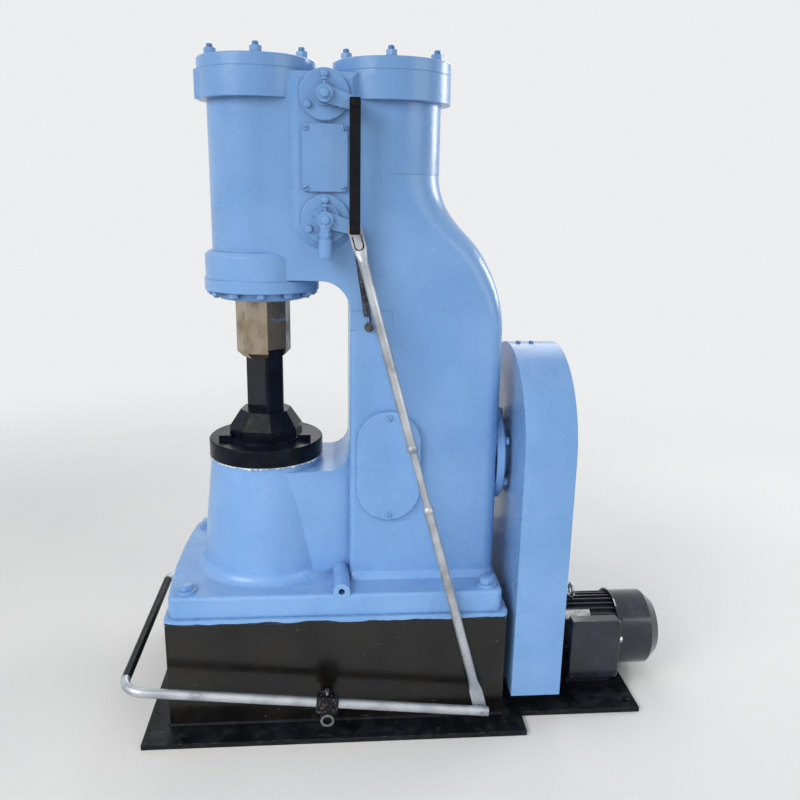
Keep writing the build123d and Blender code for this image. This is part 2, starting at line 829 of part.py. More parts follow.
with BuildPart() as motor_terminal_lid:
    with BuildSketch(Plane.XZ.offset(terminal_face - terminal_lid)):
        with Locations((motor_middle_x, terminal_z)):
            RectangleRounded(
                terminal_width + 2 * terminal_lid_rim,
                terminal_height + 2 * terminal_lid_rim,
                terminal_corner + terminal_lid_rim,
            )
    extrude(amount=terminal_lid)
    fillet(motor_terminal_lid.edges().group_by(Axis.Y)[0], terminal_edge)
motor_terminal_lid.part.label = "motor_terminal_lid"
export_step(motor_terminal_lid.part, "parts/motor_terminal_lid.step")

with BuildPart() as motor_lifting_eye:
    with BuildSketch(Plane.XY.offset(eye_seat_z)):
        with Locations((eye_x, motor_y)):
            Circle(eye_collar_radius)
    extrude(amount=eye_collar_height)
    eye_centre_z = eye_seat_z + eye_ring_radius + eye_wire_radius
    with Locations(Plane(origin=(eye_x, motor_y, eye_centre_z), z_dir=(1, 0, 0))):
        Torus(eye_ring_radius, eye_wire_radius)
motor_lifting_eye.part.label = "motor_lifting_eye"
export_step(motor_lifting_eye.part, "parts/motor_lifting_eye.step")

# Treadle: a pipe loop around the front of the base, tilted up at the foot bar
treadle_plane = Plane(
    origin=(treadle_pivot_x, 0, treadle_pipe_z),
    x_dir=(cos(radians(treadle_slope)), 0, -sin(radians(treadle_slope))),
    z_dir=(sin(radians(treadle_slope)), 0, cos(radians(treadle_slope))),
)
bend_x = treadle_bend - treadle_front
bend_y = treadle_half_width - treadle_bend
for label, side, end_x in (
    ("treadle_near_arm", -1, treadle_rear + treadle_end),
    ("treadle_far_arm", 1, treadle_tail),
):
    with BuildPart() as treadle_arm:
        with BuildLine(treadle_plane) as arm_path:
            Line((end_x, side * treadle_half_width), (bend_x, side * treadle_half_width))
            JernArc((bend_x, side * treadle_half_width), (-1, 0), treadle_bend, side * 90)
        with BuildSketch(Plane(origin=arm_path.line @ 0, z_dir=arm_path.line % 0)):
            Circle(pipe_radius)
        sweep()
        if side < 0:
            pin_plane = Plane(
                origin=treadle_plane.from_local_coords(Vector(treadle_rear, -treadle_half_width, 0)),
                x_dir=treadle_plane.x_dir,
                z_dir=(0, 1, 0),
            )
            with BuildSketch(pin_plane):
                Circle(rod_pin_radius)
            extrude(amount=pipe_radius + rod_side_gap + rod_flat_thickness + rod_pin_end)
            with BuildSketch(pin_plane.offset(-pipe_radius)):
                Circle(rod_pin_radius)
            extrude(amount=rod_pin_recess, mode=Mode.SUBTRACT)
    treadle_arm.part.label = label
    export_step(treadle_arm.part, f"parts/{label}.step")

bar_end = treadle_plane.from_local_coords(Vector(-treadle_front, -bend_y, 0))
with BuildPart() as treadle_foot_bar:
    with BuildSketch(Plane(origin=bar_end, z_dir=(0, 1, 0))):
        Circle(pipe_radius)
    extrude(amount=2 * bend_y)
treadle_foot_bar.part.label = "treadle_foot_bar"
export_step(treadle_foot_bar.part, "parts/treadle_foot_bar.step")

for label, side in (("treadle_near_clamp", 1), ("treadle_far_clamp", -1)):
    clamp_plane = Plane(
        origin=(treadle_pivot_x, -side * treadle_half_width, treadle_pipe_z),
        x_dir=treadle_plane.x_dir,
        z_dir=(0, -1, 0),
    )
    with BuildPart() as treadle_clamp:
        with BuildSketch(clamp_plane):
            Rectangle(clamp_length, clamp_height)
        extrude(amount=clamp_width / 2, both=True)
        chamfer(treadle_clamp.edges(), clamp_edge)
        with BuildSketch(Plane.XZ.offset(side * treadle_half_width)):
            with Locations((treadle_pivot_x, treadle_pivot_z)):
                Circle(bush_radius)
        extrude(amount=bush_length / 2, both=True)
        with BuildSketch(Plane.XZ.offset(side * treadle_half_width)):
            with Locations((treadle_pivot_x, treadle_pivot_z)):
                Circle(pivot_radius + pin_play)
        extrude(amount=bush_length, both=True, mode=Mode.SUBTRACT)
        with BuildSketch(Plane(origin=clamp_plane.origin, z_dir=treadle_plane.x_dir)):
            Circle(pipe_radius + pin_play)
        extrude(amount=clamp_length, both=True, mode=Mode.SUBTRACT)
    treadle_clamp.part.label = label
    export_step(treadle_clamp.part, f"parts/{label}.step")

pivot_reach = treadle_half_width + bush_length / 2 - pivot_recess
for label, side in (("treadle_near_pivot", 1), ("treadle_far_pivot", -1)):
    with BuildPart() as treadle_pivot:
        with BuildSketch(Plane.XZ.offset(side * wall_half)):
            with Locations((treadle_pivot_x, treadle_pivot_z)):
                Circle(pivot_collar_radius)
        extrude(amount=side * pivot_collar_length)
        with BuildSketch(Plane.XZ.offset(side * wall_half)):
            with Locations((treadle_pivot_x, treadle_pivot_z)):
                Circle(pivot_radius)
        extrude(amount=side * (pivot_reach - wall_half))
    treadle_pivot.part.label = label
    export_step(treadle_pivot.part, f"parts/{label}.step")

# Valve levers with their spindles, and the socket that hangs on the lower one
for label, level in (("upper_valve_lever", upper_valve_z), ("lower_valve_lever", lower_valve_z)):
    with BuildPart() as valve_lever:
        with BuildSketch(Plane.XZ.offset(lever_face)):
            with Locations((valve_x, level)):
                Circle(lever_hub_radius)
            with Locations((valve_x + lever_arm_x, level - lever_arm_drop)):
                Circle(lever_end_radius)
            make_hull()
        extrude(amount=lever_thickness)
        with BuildSketch(Plane.XZ.offset(lever_face)):
            with Locations((valve_x, level)):
                Circle(lever_hub_radius)
        extrude(amount=lever_hub_length)
        with BuildSketch(Plane.XZ.offset(chest_half_width + slip)):
            with Locations((valve_x, level)):
                Circle(spindle_radius)
        extrude(amount=lever_face - chest_half_width)
        with BuildSketch(Plane.XZ.offset(lever_face)):
            with Locations((valve_x + lever_arm_x, level - lever_arm_drop)):
                Circle(lever_pin_radius)
        extrude(amount=link_face + link_thickness + layer_gap - lever_face)
        if level == lower_valve_z:
            with BuildSketch(Plane.XZ.offset(lever_face)):
                with Locations((valve_x + lever_arm_x, level - lever_arm_drop)):
                    Circle(lever_pin_radius)
            extrude(amount=-spring_pin_reach)
            with BuildSketch(Plane(origin=(valve_x, -stub_y, level), z_dir=(0, 0, -1))):
                Circle(stub_neck_radius)
            extrude(amount=lever_hub_radius + stub_neck_length)
            stub_z = level - lever_hub_radius - stub_neck_length
            with BuildSketch(Plane(origin=(valve_x, -stub_y, stub_z), z_dir=(0, 0, -1))):
                Circle(stub_radius)
            extrude(amount=stub_length)
    valve_lever.part.label = label
    export_step(valve_lever.part, f"parts/{label}.step")

# Link bar between the two levers
lever_pin_x = valve_x + lever_arm_x
with BuildPart() as link_bar:
    with BuildSketch(Plane.XZ.offset(link_face)):
        with Locations((lever_pin_x, (upper_valve_z + lower_valve_z) / 2 - lever_arm_drop)):
            RectangleRounded(link_width, upper_valve_z - lower_valve_z + link_width, link_corner)
        for level in (upper_valve_z, lower_valve_z):
            with Locations((lever_pin_x, level - lever_arm_drop)):
                Circle(lever_pin_radius + pin_play, mode=Mode.SUBTRACT)
    extrude(amount=link_thickness)
link_bar.part.label = "link_bar"
export_step(link_bar.part, "parts/link_bar.step")

# Pull rod: two pipes with flattened ends, welded to a thinner bar between them
rod_top = Vector(lever_pin_x, -rod_top_y, rod_top_z)
rod_foot = treadle_plane.from_local_coords(Vector(treadle_rear, -rod_foot_y, 0))
fall = Vector(rod_foot.X - rod_top.X, 0, rod_foot.Z - rod_top.Z).normalized()
pipe_top = rod_top + fall * rod_flat_length
pipe_foot = rod_foot - fall * rod_flat_length
pipe_axis = (pipe_foot - pipe_top).normalized()
pipe_length = (pipe_foot - pipe_top).length
flat_across = Vector(-fall.Z, 0, fall.X)
with BuildPart() as pull_rod:
    for end, inner, hole in (
        (rod_top, pipe_top, lever_pin_radius + pin_play),
        (rod_foot, pipe_foot, rod_pin_radius + rod_pin_clearance),
    ):
        with BuildSketch(Plane.XZ.offset(-end.Y)):
            with Locations((end.X, end.Z), (inner.X, inner.Z)):
                Circle(rod_flat_width / 2)
            make_hull()
            with Locations((end.X, end.Z)):
                Circle(hole, mode=Mode.SUBTRACT)
        extrude(amount=rod_flat_thickness / 2, both=True)
    upper_share, lower_share = rod_bead_shares
    for start, heading, share in (
        (pipe_top, pipe_axis, upper_share),
        (pipe_foot, -pipe_axis, 1 - lower_share),
    ):
        taper_end = start + heading * rod_taper_length
        with BuildSketch(Plane(origin=start, x_dir=flat_across, z_dir=heading)):
            Ellipse(rod_flat_width / 2 - slip, rod_flat_thickness / 2 - slip)
        with BuildSketch(Plane(origin=taper_end, x_dir=flat_across, z_dir=heading)):
            Circle(pipe_radius)
        loft()
        with BuildSketch(Plane(origin=taper_end, x_dir=flat_across, z_dir=heading)):
            Circle(pipe_radius)
        extrude(amount=pipe_length * share - rod_taper_length)
    splice_start = pipe_top + pipe_axis * (pipe_length * upper_share)
    with BuildSketch(Plane(origin=splice_start, x_dir=flat_across, z_dir=pipe_axis)):
        Circle(splice_radius)
    extrude(amount=pipe_length * (lower_share - upper_share))
    with Locations([pipe_top + pipe_axis * (pipe_length * share) for share in rod_bead_shares]):
        Sphere(rod_bead_radius)
pull_rod.part.label = "pull_rod"
export_step(pull_rod.part, "parts/pull_rod.step")

# Return spring and its pin on the column
with BuildPart() as spring_pin:
    with BuildSketch(Plane.XZ.offset(spring_pad_face)):
        with Locations((spring_pin_x, spring_pin_z)):
            Circle(spring_pin_radius)
    extrude(amount=spring_pin_length)
    with BuildSketch(Plane.XZ.offset(spring_pad_face + spring_pin_length)):
        with Locations((spring_pin_x, spring_pin_z)):
            Circle(spring_pin_head_radius)
    extrude(amount=spring_pin_head_length)
spring_pin.part.label = "spring_pin"
export_step(spring_pin.part, "parts/spring_pin.step")

spring_top = Vector(rod_top.X, -spring_y, rod_top.Z)
spring_foot = Vector(spring_pin_x, -spring_y, spring_pin_z)
pull = (spring_foot - spring_top).normalized()
spring_length = (spring_foot - spring_top).length
with BuildPart() as return_spring:
    with BuildSketch(Plane(origin=spring_top + pull * (lever_pin_radius + slip), z_dir=pull)):
        Circle(spring_wire_radius)
    extrude(amount=spring_length - lever_pin_radius - spring_pin_radius - 2 * slip)
    with BuildSketch(Plane(origin=spring_top + pull * spring_hook, z_dir=pull)):
        Circle(spring_radius)
    extrude(amount=spring_length - 2 * spring_hook)
return_spring.part.label = "return_spring"
export_step(return_spring.part, "parts/return_spring.step")
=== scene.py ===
"""Looks of a pneumatic forging hammer: finishes, fasteners, welds, spring, light and camera."""
import random
from math import cos, pi, radians, sin, tan, tau

import bmesh
import bpy
from mathutils import Matrix, Vector


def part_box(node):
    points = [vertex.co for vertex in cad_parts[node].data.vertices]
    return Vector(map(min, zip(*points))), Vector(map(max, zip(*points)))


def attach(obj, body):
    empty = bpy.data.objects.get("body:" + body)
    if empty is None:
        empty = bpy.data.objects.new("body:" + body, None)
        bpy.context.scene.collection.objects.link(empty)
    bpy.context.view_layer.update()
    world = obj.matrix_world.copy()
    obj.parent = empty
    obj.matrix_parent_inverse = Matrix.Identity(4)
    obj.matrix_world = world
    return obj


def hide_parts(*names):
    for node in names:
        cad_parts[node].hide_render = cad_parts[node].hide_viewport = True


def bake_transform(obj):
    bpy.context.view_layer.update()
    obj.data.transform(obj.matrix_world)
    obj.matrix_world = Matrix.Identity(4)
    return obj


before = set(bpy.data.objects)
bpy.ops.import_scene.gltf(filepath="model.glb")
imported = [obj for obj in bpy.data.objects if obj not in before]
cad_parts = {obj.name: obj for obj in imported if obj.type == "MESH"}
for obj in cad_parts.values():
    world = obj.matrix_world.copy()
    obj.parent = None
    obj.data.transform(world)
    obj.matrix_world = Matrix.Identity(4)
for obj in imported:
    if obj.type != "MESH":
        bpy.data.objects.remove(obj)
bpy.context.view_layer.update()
random.seed(7)

# Lengths in this script are millimetres until a piece is linked, angles are degrees.
MM = 0.001
NEAR = Vector((0, -1, 0))
FAR = Vector((0, 1, 0))
UP = Vector((0, 0, 1))
DOWN = Vector((0, 0, -1))
FRONT = Vector((-1, 0, 0))
REAR = Vector((1, 0, 0))

# How far outside a piece a line starts that finds its face
SIGHT_GAP = 40.0


def span(node):
    """Lowest and highest corner of a CAD node, in millimetres."""
    low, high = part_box(node)
    return low / MM, high / MM


def middle(node):
    """Centre of a CAD node's box, in millimetres."""
    low, high = span(node)
    return (low + high) / 2


def seat(node, start, direction):
    """Where a line from start first meets a CAD node, in millimetres."""
    found, place, _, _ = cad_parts[node].ray_cast(Vector(start) * MM, direction)
    if not found:
        raise ValueError(f"no surface of {node} from {tuple(start)}")
    return place / MM


# Finishes
SOFT_SAMPLES = 6

# Where paints meet: blue laps down over the base box, black rises up the deck plate, and the line blurs
BRUSH_LAP = 1.5
BRUSH_RISE = 3.0
BRUSH_BLUR = 0.8


class Finish:
    """One material under construction, with short calls for the nodes that the finishes share."""

    def __init__(self, name):
        self.material = bpy.data.materials.new(name)
        self.material.use_nodes = True
        self.tree = self.material.node_tree
        self.shader = self.tree.nodes["Principled BSDF"]
        self.place = self.node("ShaderNodeTexCoord").outputs["Object"]
        self.facing = self.node("ShaderNodeNewGeometry").outputs["Normal"]

    def node(self, kind, inputs=(), **settings):
        """A new node with its settings, and its inputs fed by name or number."""
        made = self.tree.nodes.new(kind)
        for key, value in settings.items():
            setattr(made, key, value)
        for key, value in dict(inputs).items():
            self.feed(made.inputs[key], value)
        return made

    def feed(self, socket, value):
        """Links a socket to another node's output, or sets it to a plain value."""
        if isinstance(value, bpy.types.NodeSocket):
            self.tree.links.new(value, socket)
        else:
            socket.default_value = value

    def set(self, **sockets):
        """Feeds sockets of the shader, named with underscores for spaces."""
        for key, value in sockets.items():
            self.feed(self.shader.inputs[key.replace("_", " ").title().replace("Ior", "IOR")], value)

    def scaled(self, size, stretch=(1, 1, 1)):
        """Object coordinates counted in steps of size, drawn out along an axis by stretch."""
        mapping = self.node("ShaderNodeMapping", {"Vector": self.place})
        mapping.inputs["Scale"].default_value = [1 / (size * MM * share) for share in stretch]
        return mapping.outputs[0]

    def noise(self, size, detail=4.0, stretch=(1, 1, 1)):
        """Cloudy noise with blotches of about the given size."""
        inputs = {"Vector": self.scaled(size, stretch), "Scale": 1.0, "Detail": detail}
        return self.node("ShaderNodeTexNoise", inputs).outputs[0]

    def specks(self, size):
        """Distance to the nearest of many scattered points, for pits and flecks."""
        inputs = {"Vector": self.scaled(size), "Scale": 1.0}
        return self.node("ShaderNodeTexVoronoi", inputs).outputs["Distance"]

    def band(self, value, low, high, bottom=0.0, top=1.0):
        """A smooth step from bottom to top while value runs from low to high."""
        inputs = {"Value": value, "From Min": low, "From Max": high, "To Min": bottom, "To Max": top}
        return self.node("ShaderNodeMapRange", inputs, interpolation_type="SMOOTHSTEP").outputs[0]

    def math(self, operation, first, second):
        """One step of arithmetic on two values."""
        return self.node("ShaderNodeMath", {0: first, 1: second}, operation=operation).outputs[0]

    def both(self, first, second):
        """Where two masks meet, or a mask at part strength."""
        return self.math("MULTIPLY", first, second)

    def either(self, first, second):
        """The stronger of two masks."""
        return self.math("MAXIMUM", first, second)

    def mix(self, share, first, second):
        """A colour between two colours."""
        # For colours this node's sockets are inputs 6 and 7 and output 2
        inputs = {0: share, 6: first, 7: second}
        return self.node("ShaderNodeMix", inputs, data_type="RGBA", clamp_factor=True).outputs[2]

    def axis(self, vector, number):
        """One coordinate of a vector."""
        return self.node("ShaderNodeSeparateXYZ", {0: vector}).outputs[number]

    def level(self):
        """Height above the floor, in metres."""
        return self.axis(self.place, 2)

    def below(self, line, waver, size):
        """What lies under a ragged line: its height, how far it wavers and the length of its waves."""
        ragged = self.both(self.math("SUBTRACT", self.noise(size, 5), 0.5), 2 * waver * MM)
        height = self.math("ADD", self.level(), ragged)
        return self.band(height, (line - BRUSH_BLUR) * MM, (line + BRUSH_BLUR) * MM, 1.0, 0.0)

    def upward(self, low=0.6, high=0.95):
        """Faces that look up."""
        return self.band(self.axis(self.facing, 2), low, high)

    def soft_edge(self, radius):
        """Surface normal with its sharp edges rounded."""
        return self.node("ShaderNodeBevel", {"Radius": radius * MM}, samples=SOFT_SAMPLES).outputs[0]

    def edges(self, rounded, low, high):
        """How near a sharp edge is, from a normal with rounded edges."""
        dot = self.node("ShaderNodeVectorMath", {0: rounded, 1: self.facing}, operation="DOT_PRODUCT")
        return self.band(self.math("SUBTRACT", 1.0, dot.outputs["Value"]), low, high)

    def crevices(self, reach, low=0.25, high=0.75):
        """Inner corners, found by ambient occlusion: where dirt gathers and where painted shade goes."""
        inputs = {"Distance": reach * MM}
        openness = self.node("ShaderNodeAmbientOcclusion", inputs, samples=SOFT_SAMPLES).outputs["AO"]
        return self.band(openness, low, high, 1.0, 0.0)

    def relief(self, height, depth, normal):
        """Surface normal after a height field of the given depth."""
        inputs = {"Height": height, "Distance": depth * MM, "Strength": 1.0, "Normal": normal}
        return self.node("ShaderNodeBump", inputs).outputs[0]


def linear(value):
    """Linear share of light for a 0 to 255 display value, by the sRGB rule."""
    share = value / 255
    return share / 12.92 if value <= 10 else ((share + 0.055) / 1.055) ** 2.4


def rgb(red, green, blue):
    """Linear colour from the 0 to 255 values of a display colour."""
    return (linear(red), linear(green), linear(blue), 1.0)


# Heights at which a finish changes: splashed dirt above the floor, a smear above the ram's lower end
SPLASH_HEIGHT = 60.0
SMEAR_FOOT = 84.0
SMEAR_TOP = 92.0


def blue_enamel(name, grain, softening, black_line=None):
    """Thick sky-blue enamel: brushed over a cast skin, dusty on top, grimy and painted darker as shade in
    corners, thin at edges.

    Below black_line, where one is given, the black of the base was brushed over the blue.
    """
    f = Finish(name)
    rounded = f.soft_edge(softening)
    colour = f.mix(f.band(f.noise(160, 2), 0.3, 0.7), rgb(105, 148, 198), rgb(116, 157, 206))
    runs = f.band(f.noise(26, 4, (1, 1, 7)), 0.55, 0.75)
    colour = f.mix(f.both(runs, 0.12), colour, rgb(88, 132, 190))
    dust = f.both(f.upward(), f.band(f.noise(45, 6), 0.42, 0.7, 0.06, 0.34))
    colour = f.mix(dust, colour, rgb(142, 166, 196))
    # Painted shade and grime: inner corners are darkened in patches to a deep blue, where shade falls
    grime_and_shade = f.both(f.crevices(22), f.band(f.noise(18, 5), 0.3, 0.65, 0.25, 0.75))
    colour = f.mix(grime_and_shade, colour, rgb(50, 76, 120))
    chips = f.both(f.edges(rounded, 0.1, 0.35), f.band(f.noise(9, 6), 0.63, 0.69))
    colour = f.mix(f.both(chips, 0.8), colour, rgb(50, 54, 62))
    stains = f.both(f.band(f.specks(34), 0.05, 0.1, 1.0, 0.0), f.band(f.noise(60), 0.56, 0.62))
    colour = f.mix(f.both(stains, 0.3), colour, rgb(70, 84, 106))
    if black_line:
        colour = f.mix(f.below(black_line, 8, 60), colour, rgb(22, 22, 24))
    sheen = f.band(f.noise(90, 4), 0.3, 0.7, 0.24, 0.32)
    skin = f.math("ADD", f.noise(14, 3), f.both(f.noise(3.2, 2), 0.22))
    f.set(base_color=colour, roughness=f.math("ADD", sheen, f.both(dust, 0.25)), specular_ior_level=0.4)
    f.set(normal=f.relief(skin, grain, rounded), coat_weight=0.08, coat_roughness=0.1)
    return f.material


def black_enamel(name, tones, sheens, shine, blue_line=None):
    """Black paint in two tones on plate: dust low down and on ledges, scuffs, and chips along the edges.

    Above blue_line, where one is given, the blue of the casting was brushed over the black.
    """
    f = Finish(name)
    rounded = f.soft_edge(1.6)
    colour = f.mix(f.band(f.noise(120, 5), 0.35, 0.7), *tones)
    scuffs = f.band(f.noise(7, 6, (9, 2, 0.7)), 0.66, 0.76)
    scuffs = f.both(scuffs, f.band(f.noise(90, 3), 0.5, 0.62))
    colour = f.mix(f.both(scuffs, 0.3), colour, rgb(112, 110, 106))
    dust = f.both(f.upward(), f.band(f.noise(38, 6), 0.46, 0.74, 0.0, 0.13))
    low_down = f.band(f.level(), 0.0, SPLASH_HEIGHT * MM, 1.0, 0.0)
    splash = f.both(low_down, f.band(f.noise(24, 6), 0.48, 0.74, 0.0, 0.15))
    dirt = f.either(dust, splash)
    colour = f.mix(dirt, colour, rgb(88, 89, 92))
    flecks = f.both(f.band(f.specks(26), 0.03, 0.07, 1.0, 0.0), f.band(f.noise(70), 0.52, 0.58))
    chips = f.both(f.edges(rounded, 0.06, 0.3), f.band(f.noise(10, 6), 0.56, 0.64))
    colour = f.mix(f.both(f.either(chips, flecks), 0.7), colour, rgb(138, 133, 125))
    if blue_line:
        colour = f.mix(f.below(blue_line, 3, 40), rgb(106, 151, 203), colour)
    sheen = f.band(f.noise(55, 5), 0.3, 0.7, *sheens)
    f.set(base_color=colour, roughness=f.math("ADD", sheen, f.both(dirt, 0.5)), specular_ior_level=shine)
    f.set(normal=f.relief(f.noise(20, 4), 0.3, rounded))
    return f.material


def black_tool_steel(name):
    """Blacked and oiled forged steel: slow dents, pale flecks, and bare metal on the worn edges."""
    f = Finish(name)
    rounded = f.soft_edge(1.8)
    colour = f.mix(f.band(f.noise(40, 6), 0.35, 0.7), rgb(8, 11, 19), rgb(16, 21, 33))
    flecks = f.both(f.band(f.specks(11), 0.04, 0.09, 1.0, 0.0), f.band(f.noise(30), 0.58, 0.64))
    colour = f.mix(f.both(flecks, 0.8), colour, rgb(170, 168, 164))
    bare = f.both(f.edges(rounded, 0.08, 0.35), f.band(f.noise(12, 5), 0.5, 0.64))
    colour = f.mix(f.both(bare, 0.32), colour, rgb(76, 80, 92))
    dust = f.both(f.upward(), f.band(f.noise(26, 6), 0.45, 0.75, 0.0, 0.08))
    colour = f.mix(dust, colour, rgb(96, 98, 108))
    sheen = f.band(f.noise(22, 5), 0.3, 0.7, 0.12, 0.28)
    skin = f.math("ADD", f.noise(17, 4), f.both(f.noise(3.0, 3), 0.25))
    f.set(base_color=colour, roughness=sheen, specular_ior_level=0.1)
    f.set(normal=f.relief(skin, 0.45, rounded))
    return f.material


def oiled_steel(name):
    """Ground ram steel under oil: fine lengthwise lines, one side painted darker as shade and the other
    lighter as lit, painted highlights along the edges, and a smear of blue.
    """
    f = Finish(name)
    rounded = f.soft_edge(1.2)
    # Painted light and shade: faces turned to the front are painted light, faces turned to the rear dark
    shaded_side = f.band(f.axis(f.facing, 0), -0.35, 0.35)
    colour = f.mix(shaded_side, rgb(172, 159, 140), rgb(94, 88, 79))
    lines = f.noise(1.8, 5, (1, 1, 60))
    colour = f.mix(f.band(lines, 0.4, 0.7, 0.0, 0.1), colour, rgb(74, 70, 64))
    film = f.band(f.noise(26, 6, (1, 1, 1.6)), 0.4, 0.64, 0.0, 0.65)
    # The oil film lies mostly on the side painted as lit
    lit_side = f.math("SUBTRACT", 1.0, f.both(shaded_side, 0.7))
    colour = f.mix(f.both(film, lit_side), colour, rgb(112, 95, 70))
    # Painted shade: faces turned straight to the rear are painted darker still
    deep_shade_side = f.band(f.axis(f.facing, 0), 0.6, 0.95)
    colour = f.mix(deep_shade_side, colour, rgb(44, 44, 50))
    ram_low = span("ram")[0].z
    above = f.math("SUBTRACT", 1.0, f.below(ram_low + SMEAR_FOOT, 5, 24))
    smear = f.both(f.below(ram_low + SMEAR_TOP, 5, 24), above)
    smear = f.both(smear, f.both(shaded_side, f.band(f.noise(22, 4), 0.45, 0.6)))
    colour = f.mix(f.both(smear, 0.6), colour, rgb(98, 124, 158))
    # Painted highlight: a pale band along every sharp edge stands in for glints off the edges
    edge_highlight = f.both(f.edges(rounded, 0.1, 0.4), 0.45)
    colour = f.mix(edge_highlight, colour, rgb(204, 198, 186))
    f.set(base_color=colour, metallic=0.9, roughness=f.band(film, 0.0, 0.6, 0.26, 0.42))
    f.set(normal=f.relief(f.noise(1.6, 3, (1, 1, 40)), 0.1, rounded))
    return f.material


def motor_enamel(name):
    """Dark grey gloss enamel with a fine stipple, pale dust on top and between the fins."""
    f = Finish(name)
    rounded = f.soft_edge(1.2)
    colour = f.mix(f.band(f.noise(60, 5), 0.35, 0.7), rgb(22, 24, 33), rgb(34, 37, 49))
    dust = f.both(f.upward(0.3, 0.95), f.band(f.noise(22, 6), 0.48, 0.78, 0.0, 0.12))
    dust = f.either(dust, f.both(f.crevices(9), 0.15))
    colour = f.mix(dust, colour, rgb(112, 112, 110))
    chips = f.both(f.edges(rounded, 0.1, 0.35), f.band(f.noise(8, 5), 0.6, 0.68))
    colour = f.mix(f.both(chips, 0.6), colour, rgb(118, 118, 122))
    stipple = f.math("ADD", f.noise(1.6, 2), f.both(f.noise(16, 3), 1.5))
    sheen = f.band(f.noise(30, 4), 0.3, 0.7, 0.13, 0.22)
    f.set(base_color=colour, roughness=f.math("ADD", sheen, f.both(dust, 0.35)), specular_ior_level=0.45)
    f.set(normal=f.relief(stipple, 0.05, rounded), coat_weight=0.3, coat_roughness=0.08)
    return f.material


def dark_steel(name, rust):
    """Black-painted bar and forgings, rubbed through at the edges; rust is the share that browned."""
    f = Finish(name)
    rounded = f.soft_edge(1.0)
    colour = f.mix(f.band(f.noise(25, 5), 0.35, 0.7), rgb(8, 10, 16), rgb(15, 18, 26))
    rubbed = f.both(f.edges(rounded, 0.06, 0.3), f.band(f.noise(9, 5), 0.48, 0.64))
    rubbed = f.either(rubbed, f.both(f.band(f.noise(14, 6, (1, 1, 3)), 0.66, 0.73), 0.5))
    colour = f.mix(f.both(rubbed, 0.3), colour, rgb(104, 104, 108))
    worn = f.both(f.band(f.noise(6, 6), 0.5, 0.68), rust)
    colour = f.mix(worn, colour, rgb(86, 84, 84))
    brown = f.both(f.band(f.noise(13, 6), 0.58, 0.7), rust)
    colour = f.mix(brown, colour, rgb(80, 64, 54))
    sheen = f.band(f.noise(12, 4), 0.3, 0.7, 0.28, 0.46)
    f.set(base_color=colour, roughness=f.math("ADD", sheen, f.both(brown, 0.35)))
    f.set(metallic=f.both(rubbed, 0.4), specular_ior_level=0.15)
    f.set(normal=f.relief(f.noise(5, 4), 0.3, rounded))
    return f.material


def silver_pipe(name):
    """Aluminium paint on steel pipe: dull and streaky, with handling dirt and small rust freckles."""
    f = Finish(name)
    rounded = f.soft_edge(1.0)
    colour = f.mix(f.band(f.noise(48, 5), 0.35, 0.68), rgb(184, 188, 194), rgb(156, 161, 169))
    dirt = f.band(f.noise(17, 6, (2.5, 1, 2.5)), 0.52, 0.72, 0.0, 0.4)
    colour = f.mix(dirt, colour, rgb(96, 94, 90))
    freckles = f.both(f.band(f.specks(9), 0.08, 0.18, 1.0, 0.0), f.band(f.noise(36), 0.54, 0.62))
    colour = f.mix(f.both(freckles, 0.7), colour, rgb(104, 72, 48))
    scratches = f.band(f.noise(2.2, 4, (14, 1, 14)), 0.64, 0.72)
    colour = f.mix(f.both(scratches, 0.4), colour, rgb(214, 216, 218))
    sheen = f.band(f.noise(24, 5), 0.3, 0.7, 0.34, 0.5)
    f.set(base_color=colour, metallic=0.7, roughness=f.math("ADD", sheen, f.both(dirt, 0.2)))
    f.set(normal=f.relief(f.noise(6, 4), 0.3, rounded))
    return f.material


def bright_metal(name, pale, dull):
    """Bare or plated small parts, dulled in patches from a pale to a dull colour."""
    f = Finish(name)
    rounded = f.soft_edge(0.5)
    colour = f.mix(f.band(f.noise(9, 4), 0.35, 0.68), pale, dull)
    f.set(base_color=colour, metallic=0.9, roughness=f.band(f.noise(5, 4), 0.3, 0.7, 0.26, 0.46))
    f.set(normal=f.relief(f.noise(2.5, 3), 0.08, rounded))
    return f.material


def sealant_white(name):
    """Squeezed-out sealant: off-white, lumpy, picked up with dirt."""
    f = Finish(name)
    colour = f.mix(f.band(f.noise(7, 5), 0.46, 0.7), rgb(226, 230, 233), rgb(146, 158, 176))
    f.set(base_color=colour, roughness=f.band(f.noise(4, 3), 0.3, 0.7, 0.4, 0.65))
    f.set(normal=f.relief(f.noise(3, 4), 0.6, f.facing))
    return f.material


BLUE_CAST = blue_enamel("blue_cast_enamel", 0.55, 3.0)
BLUE_SMOOTH = blue_enamel("blue_smooth_enamel", 0.12, 1.4)
BLUE_DECK = blue_enamel("blue_deck_enamel", 0.3, 1.4, black_line=span("deck_plate")[0].z + BRUSH_RISE)
PLATE_TONES = (rgb(11, 12, 17), rgb(19, 21, 28))
PLATE_BLACK = black_enamel("black_plate_enamel", PLATE_TONES, (0.26, 0.44), 0.2)
BOX_TONES = (rgb(13, 13, 13), rgb(26, 24, 22))
BOX_LINE = span("base_box")[1].z - BRUSH_LAP
BOX_BLACK = black_enamel("black_box_enamel", BOX_TONES, (0.14, 0.26), 0.42, blue_line=BOX_LINE)
TOOL_BLACK = black_tool_steel("black_tool_steel")
RAM_STEEL = oiled_steel("oiled_ram_steel")
MOTOR_DARK = motor_enamel("motor_enamel")
BAR_BLACK = dark_steel("black_bar", 0.0)
CLAMP_RUSTY = dark_steel("rusty_clamp_steel", 0.7)
PIPE_SILVER = silver_pipe("silver_pipe_paint")
ZINC = bright_metal("zinc_plate", rgb(194, 196, 198), rgb(152, 150, 142))
WORN_STEEL = bright_metal("worn_steel", rgb(140, 140, 142), rgb(92, 91, 88))
SPRING_STEEL = bright_metal("spring_steel", rgb(96, 97, 100), rgb(58, 58, 60))
SEALANT = sealant_white("sealant")

